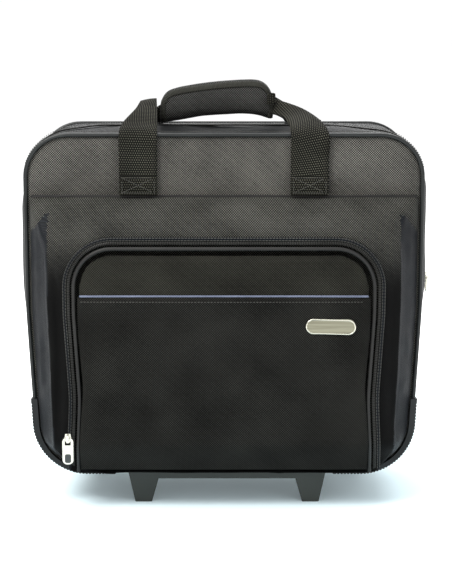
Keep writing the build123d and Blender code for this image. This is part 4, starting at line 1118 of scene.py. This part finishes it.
def slip_cloth():
    """Slip pocket sheet over the flap's lower part, following the flap's waisted sides."""
    columns = 90
    rows = 64
    verts = []
    for row in range(rows):
        z = SLIP_LOW.z + (SLIP_HIGH.z - SLIP_LOW.z) * row / (rows - 1)
        waist = FLAP_HIGH.x - 5 * MM * (1 - abs(step_between(60 * MM, 205 * MM, z) * 2 - 1) ** 1.3) * 0.9
        half = min(waist, FLAP_HIGH.x) - 1.6 * MM
        for column in range(columns):
            x = half * (column / (columns - 1) * 2 - 1)
            verts.append((x, FLAP_FRONT_Y - 0.6 * MM - slip_crown(x, z), z))
    item = turned_out(new_mesh("slip_cloth", verts, grid_faces(rows, columns)), (0, 0, 0.13))
    return thicken(item, 1.4 * MM)


slip = slip_cloth()
finish_piece(slip, "pocket_flap", "ballistic_nylon", SLIP_CLOTH, "slip_pocket")


def thread_line(name, start, end, normal, body, slot_name, sag=0.0):
    """A straight row of stitches between two points."""
    start, end = Vector(start), Vector(end)
    points = [start.lerp(end, k / 60) for k in range(61)]
    points = [p + Vector(normal) * (sag * math.sin(math.pi * k / 60)) for k, p in enumerate(points)]
    return stitches(name, points, [Vector(normal)] * len(points), body, slot_name)


HEM_HALF = FLAP_HIGH.x - 6 * MM
HEM_Y = SLIP_LOW.y - 1.3 * MM
HEM_Z = SLIP_HIGH.z - 4 * MM
thread_line("slip_hem_stitches", (-HEM_HALF, HEM_Y, HEM_Z), (HEM_HALF, HEM_Y, HEM_Z), FORWARD,
            "pocket_flap", "ballistic_nylon", 1.2 * MM)


# The pocket and flap lean back near the floor, and the pocket's bottom corners are rounded upwards
TUCK = 14 * MM
TUCK_TOP_Z = 78 * MM
CORNER_LIFT = 12 * MM
CORNER_START_X, CORNER_END_X = 148 * MM, 176 * MM
for name in ("pocket_shell", "pocket_tape", "pocket_tape_fold", "pocket_teeth", "pocket_stitches_inner",
             "pocket_stitches_outer", "flap_cord", "flap_pad", "slip_cloth"):
    for vertex in bpy.data.objects[name].data.vertices:
        spot = vertex.co
        low_share = 1 - step_between(FLAP_LOW.z, TUCK_TOP_Z, spot.z)
        deep_share = min(1.0, max(0.0, (FRONT_Y - spot.y) / (FRONT_Y - FACE_Y)))
        corner_share = step_between(CORNER_START_X, CORNER_END_X, abs(spot.x))
        spot.y += TUCK * low_share * deep_share
        spot.z += CORNER_LIFT * low_share * corner_share * deep_share


# ---- carrying handle -----------------------------------------------------------------------------------

WRAP_STATIONS = [(-65.5, 389.5, 412.0), (-61.0, 390.5, 420.5), (-55.6, 391.4, 424.4), (-45.0, 392.7, 427.4),
                 (-24.7, 396.0, 430.8), (-4.0, 397.4, 433.2), (16.5, 398.5, 434.6), (28.8, 398.0, 435.0),
                 (37.0, 396.6, 434.0), (43.0, 395.2, 430.5), (47.4, 394.2, 425.0), (50.5, 394.0, 417.0)]
WRAP_FRONT_Y = WRAP_LOW.y + 0.6 * MM
WRAP_BACK_Y = WRAP_HIGH.y - 0.6 * MM


def at_station(x):
    """Bottom and top of the handle wrap at one x, in metres."""
    for left, right in zip(WRAP_STATIONS, WRAP_STATIONS[1:]):
        if x <= right[0] * MM:
            share = (x - left[0] * MM) / ((right[0] - left[0]) * MM)
            return [(a + (b - a) * share) * MM for a, b in zip(left[1:], right[1:])]
    return [value * MM for value in WRAP_STATIONS[-1][1:]]


def wrap_shell():
    """Padded handle wrap: a soft oval section drawn through the stations."""
    columns = 64
    around = 40
    verts = []
    start, end = WRAP_STATIONS[0][0] * MM, WRAP_STATIONS[-1][0] * MM
    for column in range(columns):
        x = start + (end - start) * column / (columns - 1)
        low, high = at_station(x)
        end_share = min(1.0, min(x - start, end - x) / (7 * MM))
        squeeze = 0.72 + 0.28 * math.sqrt(max(0.0, 1 - (1 - end_share) ** 2))
        for k in range(around):
            angle = 2 * math.pi * k / around
            c, s = math.cos(angle), math.sin(angle)
            rx = math.copysign(abs(c) ** 0.75, c)
            rz = math.copysign(abs(s) ** 0.85, s)
            y = (WRAP_FRONT_Y + WRAP_BACK_Y) / 2 + rx * (WRAP_BACK_Y - WRAP_FRONT_Y) / 2 * squeeze
            z = (low + high) / 2 + rz * (high - low) / 2
            verts.append((x, y, z))
    faces = tube_faces(columns, around)
    faces.append(tuple(reversed(range(around))))
    faces.append(tuple(range(len(verts) - around, len(verts))))
    item = new_mesh("wrap_pad", verts, faces)
    return faced_out(item)


wrap_pad = puffed(wrap_shell(), 2.6 * MM, 0.9 * MM)
finish_piece(wrap_pad, "lid", "ballistic_nylon", WRAP_CLOTH, "handle_wrap")


def ribbon(name, lines, thickness, steps=48, crown=0.0, columns=9):
    """Webbing strip between two edge curves; lines is a pair of lists of (x, y, z) in mm."""
    def smooth_line(points):
        points = [Vector(p) * MM for p in points]
        dense = []
        for k in range(len(points) - 1):
            p0 = points[max(k - 1, 0)]
            p1, p2 = points[k], points[k + 1]
            p3 = points[min(k + 2, len(points) - 1)]
            for n in range(8):
                t = n / 8
                dense.append(0.5 * ((2 * p1) + (p2 - p0) * t + (2 * p0 - 5 * p1 + 4 * p2 - p3) * t * t
                                    + (3 * p1 - p0 - 3 * p2 + p3) * t ** 3))
        dense.append(points[-1])
        return spaced(dense, steps - 1, steps)

    first, second = [smooth_line(line) for line in lines]
    verts = []
    uvs = []
    travelled = 0.0
    for row, (a, b) in enumerate(zip(first, second)):
        if row:
            travelled += ((a + b) / 2 - (first[row - 1] + second[row - 1]) / 2).length
        ahead = min(row + 1, steps - 1)
        behind = max(row - 1, 0)
        along = (first[ahead] + second[ahead]) / 2 - (first[behind] + second[behind]) / 2
        across = b - a
        face = along.cross(across).normalized()
        for column in range(columns):
            share = column / (columns - 1)
            lift = crown * math.sin(math.pi * share)
            verts.append(a.lerp(b, share) + face * lift)
            uvs.append((share * across.length, travelled))
    item = new_mesh(name, verts, grid_faces(steps, columns), uvs)
    return thicken(item, thickness, 0.0)


STRAP_X = 85.5
STRAP_HALF = 19.0
FRONT_LEG_Y = -67.4


def front_leg(side, outer, inner):
    """One front handle strap: flat on the panel, then over the top edge and back to the wrap."""
    legs = []
    for offset, tail in ((STRAP_HALF, outer), (-STRAP_HALF, inner)):
        x = side * (STRAP_X + offset)
        legs.append([(x, FRONT_LEG_Y, 320.0), (x, FRONT_LEG_Y - 0.9, 338.0),
                     (x, FRONT_LEG_Y - 0.6, 358.0)] + tail)
    name = "front_strap_" + ("right" if side > 0 else "left")
    item = ribbon(name, legs, 2.2 * MM, crown=side * 0.7 * MM)
    return finish_piece(item, "lid", "webbing", WEBBING, "front_strap")


front_leg(-1, [(-104.5, -67.0, 380.0), (-101.5, -54.0, 391.0), (-89.5, -34.0, 404.5), (-85.0, -18.0, 412.0),
               (-84.0, -8.0, 408.0)],
          [(-66.5, -67.0, 380.0), (-66.8, -52.0, 392.0), (-68.0, -32.0, 406.0), (-69.0, -17.0, 414.5),
           (-70.0, -8.0, 410.0)])
front_leg(1, [(104.7, -67.0, 380.0), (97.0, -50.0, 393.0), (79.0, -27.0, 405.0), (54.0, -12.0, 414.0)],
          [(66.8, -67.0, 380.0), (64.5, -50.0, 391.0), (59.0, -28.0, 397.0), (46.0, -12.0, 400.0)])


def strap_patch(side):
    """Folded end of the front strap, sewn down with a crossed box."""
    x0 = side * (STRAP_X - STRAP_HALF + 0.4)
    x1 = side * (STRAP_X + STRAP_HALF - 0.4)
    name = "strap_patch_" + ("right" if side > 0 else "left")
    lines = [[(x1, FRONT_LEG_Y - 1.6, 321.0), (x1, FRONT_LEG_Y - 3.0, 330.0), (x1, FRONT_LEG_Y - 2.4, 340.0)],
             [(x0, FRONT_LEG_Y - 1.6, 321.0), (x0, FRONT_LEG_Y - 3.0, 330.0), (x0, FRONT_LEG_Y - 2.4, 340.0)]]
    finish_piece(ribbon(name, lines, 1.8 * MM, steps=14), "lid", "webbing", WEBBING)
    y = (FRONT_LEG_Y - 3.6) * MM
    low, high = 323.0 * MM, 338.0 * MM
    a, b = sorted((x0 * MM + side * 2.5 * MM, x1 * MM - side * 2.5 * MM))
    box = [((a, y, low), (b, y, low)), ((a, y, high), (b, y, high)), ((a, y, low), (a, y, high)),
           ((b, y, low), (b, y, high)), ((a, y, low), (b, y, high)), ((a, y, high), (b, y, low))]
    for number, (start, end) in enumerate(box):
        length = (Vector(end) - Vector(start)).length
        steps = max(2, round(length / (1 * MM)))
        points = [Vector(start).lerp(Vector(end), k / steps) for k in range(steps + 1)]
        stitches(f"{name}_stitch_{number}", points, [FORWARD] * len(points), "lid", "webbing", 2.6 * MM,
                 1.9 * MM,
                 0.38 * MM)


strap_patch(-1)
strap_patch(1)


def conformed_tape(name, path, width_direction, width, lift, target):
    """Binding tape laid on the padded wrap: each row is dropped onto the surface."""
    bpy.context.view_layer.update()
    columns = 6
    verts = []
    uvs = []
    travelled = 0.0
    for k, (point, normal) in enumerate(path):
        if k:
            travelled += (point - path[k - 1][0]).length
        along = (path[min(k + 1, len(path) - 1)][0] - path[max(k - 1, 0)][0]).normalized()
        across = width_direction(along, normal)
        for column in range(columns):
            s = column / (columns - 1) - 0.5
            from_point = point + across * (s * width) + normal * 15 * MM
            hit, place, _, _ = target.ray_cast(from_point, -normal, distance=28 * MM)
            if not hit:
                place = point + across * (s * width)
            verts.append(place + normal * (lift + 0.35 * MM * math.cos(math.pi * s)))
            uvs.append((s * width, travelled))
    item = new_mesh(name, verts, grid_faces(len(path), columns), uvs)
    item = turned_out(item, (0, WRAP_BACK_Y - 12 * MM, 0.405))
    return finish_piece(thicken(item, 1.3 * MM), "lid", "webbing", BINDING)


def wrap_edge_path():
    """Front upper edge of the wrap, from the lower left corner, along the top, to the lower right."""
    path = []
    front = Vector((0, -0.86, 0.5)).normalized()
    left = Vector((-0.55, -0.82, 0.1)).normalized()
    right = Vector((0.55, -0.82, 0.1)).normalized()
    for z in (391, 396, 401, 406, 410):
        path.append((Vector((-61.0 * MM, WRAP_FRONT_Y + 4 * MM, z * MM)), left))
    for k in range(60):
        x = (-58.0 + (46.5 + 58.0) * k / 59) * MM
        _, high = at_station(x)
        drop = 5.5 * MM
        path.append((Vector((x, WRAP_FRONT_Y + 3 * MM, high - drop)), front))
    for z in (408, 403, 398, 395):
        path.append((Vector((47.5 * MM, WRAP_FRONT_Y + 4 * MM, z * MM)), right))
    return path


conformed_tape("wrap_binding", wrap_edge_path(), lambda along, normal: along.cross(normal).normalized(),
               6.5 * MM, 1.1 * MM,
               wrap_pad)

tab = ribbon("wrap_tab", [[(44.0, -18.6, 419.0), (49.0, -19.2, 421.0), (52.0, -17.5, 420.0)],
                          [(44.0, -19.6, 409.0), (49.5, -19.8, 410.0),
                           (52.6, -18.0, 411.0)]], 1.6 * MM, steps=10)
finish_piece(tab, "lid", "webbing", WEBBING)


def rear_leg(side):
    """One rear handle strap: from the panel behind the zipper up to the loop behind the wrap."""
    x0 = side * (STRAP_X - STRAP_HALF)
    x1 = side * (STRAP_X + STRAP_HALF)
    outer = [(x1, 76.0, 386.0), (x1, 60.0, 389.2), (side * 100.0, 44.0, 391.0), (side * 82.0, 24.0, 398.0),
             (side * 57.0, 13.0, 414.0), (side * 36.0, 11.2, 426.0)]
    inner = [(x0, 76.0, 386.0), (x0, 60.0, 389.4), (side * 64.0, 40.0, 391.4), (side * 60.0, 24.0, 395.0),
             (side * 46.0, 13.0, 400.0), (side * 33.0, 11.2, 401.5)]
    return [outer, inner]


LOOP_MIDDLE = [[(36.0, 11.2, 426.0), (0.0, 11.0, 427.0), (-36.0, 11.2, 426.0)],
               [(33.0, 11.2, 401.5), (0.0, 11.0, 402.0), (-33.0, 11.2, 401.5)]]
for side, label in ((-1, "left"), (1, "right")):
    finish_piece(ribbon("rear_strap_" + label, rear_leg(side), 2.2 * MM, crown=-side * 0.6 * MM), "case",
                 "webbing", WEBBING,
                 "rear_strap")
finish_piece(ribbon("rear_strap_loop", LOOP_MIDDLE, 2.2 * MM, crown=0.4 * MM), "case", "webbing", WEBBING)


# ---- trolley cover and inside pieces ---------------------------------------------------------------------


def soft_plate(name, half_w, z0, z1, y0, y1, radius, rows_step=5 * MM, swell=1.5 * MM, facing=-1,
               centre_x=0.0):
    """Rounded padded plate that faces forwards or backwards, with a swollen middle and a thin edge."""
    line = rounded([(centre_x - half_w, z0), (centre_x + half_w, z0), (centre_x + half_w, z1),
                    (centre_x - half_w, z1)],
                   [radius] * 4, rows_step)
    centre = Vector((centre_x, (z0 + z1) / 2))
    count = len(line)
    rings = 14
    verts = []
    for y, sign in ((y0, -1), (y1, 1)):
        for ring in range(rings):
            share = 1.0 - (ring / rings) ** 1.5
            edge = step_between(0.0, 0.12, 1.0 - share)
            for spot in line:
                flat = centre + (spot - centre) * share
                puff = edge * (swell + fuzz((flat.x, y, flat.y), 0.05, swell * 0.5,
                                            6.0)) if sign == facing else 0.0
                round_off = (1 - edge) * min(1.2 * MM, (y1 - y0) * 0.3) * -sign
                verts.append((flat.x, y + sign * puff + round_off, flat.y))
        verts.append((centre.x, y + (sign * swell if sign == facing else 0.0), centre.y))
    half = rings * count + 1
    faces = []
    for base in (0, half):
        for ring in range(rings - 1):
            for index in range(count):
                after = (index + 1) % count
                faces.append((base + ring * count + index, base + ring * count + after,
                              base + (ring + 1) * count + after, base + (ring + 1) * count + index))
        last = base + (rings - 1) * count
        for index in range(count):
            faces.append((last + index, last + (index + 1) % count, base + half - 1))
    for index in range(count):
        after = (index + 1) % count
        faces.append((index, half + index, half + after, after))
    item = new_mesh(name, verts, faces)
    return faced_out(item)


cover = soft_plate("cover_pad", (COVER_HIGH.x - COVER_LOW.x) / 2 - 1 * MM, COVER_LOW.z + 1 * MM,
                   COVER_HIGH.z - 1 * MM,
                   BACK_Y + 0.6 * MM, COVER_HIGH.y - 1.5 * MM, 12 * MM, facing=1)
finish_piece(cover, "case", "ballistic_nylon", FLAT_BALLISTIC, "trolley_cover")

INSIDE_PLATES = (("file_divider", "case", LINING, 8 * MM, -1), ("organizer_panel", "lid", LINING, 8 * MM, 1))
for node, body, look, radius, facing in INSIDE_PLATES:
    low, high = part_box(node)
    plate = soft_plate(node + "_cloth", (high.x - low.x) / 2, low.z, high.z, low.y, high.y, radius,
                       swell=0.6 * MM,
                       facing=facing, centre_x=(low.x + high.x) / 2)
    finish_piece(plate, body, "lining_nylon", look, node)

# The sleeve's front wall stands on a padded shelf
SLEEVE_WALL = 5 * MM
low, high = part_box("laptop_sleeve")
sleeve = soft_plate("laptop_sleeve_wall", high.x, low.z, high.z, low.y, low.y + SLEEVE_WALL, 10 * MM,
                    swell=0.6 * MM)
finish_piece(sleeve, "case", "lining_nylon", LINING, "laptop_sleeve")
shelf_columns = 60
shelf_verts = []
for row in range(8):
    y = low.y + SLEEVE_WALL + (high.y - low.y - SLEEVE_WALL) * row / 7
    for column in range(shelf_columns):
        x = (high.x - 1 * MM) * (2 * column / (shelf_columns - 1) - 1)
        shelf_verts.append((x, y, low.z + 4.6 * MM + fuzz((x, y, 0), 0.03, 0.4 * MM, 6.0)))
shelf = turned_out(new_mesh("laptop_sleeve_shelf", shelf_verts, grid_faces(8, shelf_columns)),
                   (0, low.y, low.z - 0.2))
finish_piece(thicken(shelf, 4.0 * MM), "case", "lining_nylon", LINING)

CARD_W = 62 * MM
CARD_STEP = 68 * MM
low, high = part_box("card_pockets")
for number in range(3):
    middle_x = low.x + CARD_W / 2 + number * CARD_STEP
    card = soft_plate("card_pocket_" + str(number + 1), CARD_W / 2, low.z, high.z, low.y, high.y, 4 * MM,
                      swell=0.5 * MM,
                      centre_x=middle_x)
    finish_piece(card, "lid", "lining_nylon", SIDE_NYLON, *(("card_pockets",) if number == 0 else ()))

# The laptop strap stands on the sleeve's wall and bends back over the laptop
low, high = [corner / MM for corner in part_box("laptop_strap")]
strap_lines = [[(x, low.y + 1.0, low.z), (x, low.y + 1.0, (low.z + high.z) / 2),
                (x, low.y + 1.0, high.z - 6.0),
                (x, low.y + 6.0, high.z - 1.0), (x, high.y, high.z - 1.0)] for x in (low.x, high.x)]
finish_piece(ribbon("laptop_webbing", strap_lines, 2 * MM, steps=40), "case", "webbing", WEBBING,
             "laptop_strap")

PEN_LOW, PEN_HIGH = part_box("pen_loops")
PEN_STEP = (PEN_HIGH.x - PEN_LOW.x) / 3
pen_verts = []
pen_rows = 25
for row in range(pen_rows):
    x = PEN_LOW.x + (PEN_HIGH.x - PEN_LOW.x) * row / (pen_rows - 1)
    swell = abs(math.sin(math.pi * (x - PEN_LOW.x) / PEN_STEP))
    y = PEN_HIGH.y - (PEN_HIGH.y - PEN_LOW.y) * (0.1 + 0.85 * swell)
    for column in range(6):
        pen_verts.append((x, y, PEN_LOW.z + (PEN_HIGH.z - PEN_LOW.z) * column / 5))
pens = turned_out(new_mesh("pen_elastic", pen_verts, grid_faces(pen_rows, 6)),
                  (PEN_LOW.x, PEN_HIGH.y + 0.05, PEN_LOW.z))
finish_piece(thicken(pens, 1.2 * MM), "lid", "webbing", WEBBING, "pen_loops")


# ---- badge rim --------------------------------------------------------------------------------------------


BADGE_HALF = (24.3 * MM, 7.2 * MM)
BADGE_TILT = math.radians(1.6)


def badge_frame():
    """Bright raised rim round the blank badge."""
    centre = (BADGE_LOW + BADGE_HIGH) / 2
    half_x, half_z = BADGE_HALF
    line = rounded([(-half_x, -half_z), (half_x, -half_z), (half_x, half_z), (-half_x, half_z)],
                   [half_z - 0.1 * MM] * 4, 0.8 * MM)
    verts = []
    count = len(line)
    section = [(0.2 * MM, 0.9 * MM), (0.35 * MM, -0.2 * MM), (-0.6 * MM, -0.45 * MM), (-1.1 * MM, 0.0)]
    for spot in line:
        core_x = max(-half_x + half_z, min(half_x - half_z, spot.x))
        away = (spot - Vector((core_x, 0))).normalized()
        for grow, deep in section:
            flat = spot + away * grow
            turned = Matrix.Rotation(-BADGE_TILT, 2) @ flat
            verts.append((centre.x + turned.x, BADGE_LOW.y + deep, centre.z + turned.y))
    item = new_mesh("badge_rim", verts, grid_faces(count, len(section), closed=True))
    return thicken(item, 0.4 * MM)


finish_piece(badge_frame(), "pocket_flap", "badge_metal", BADGE_RIM)
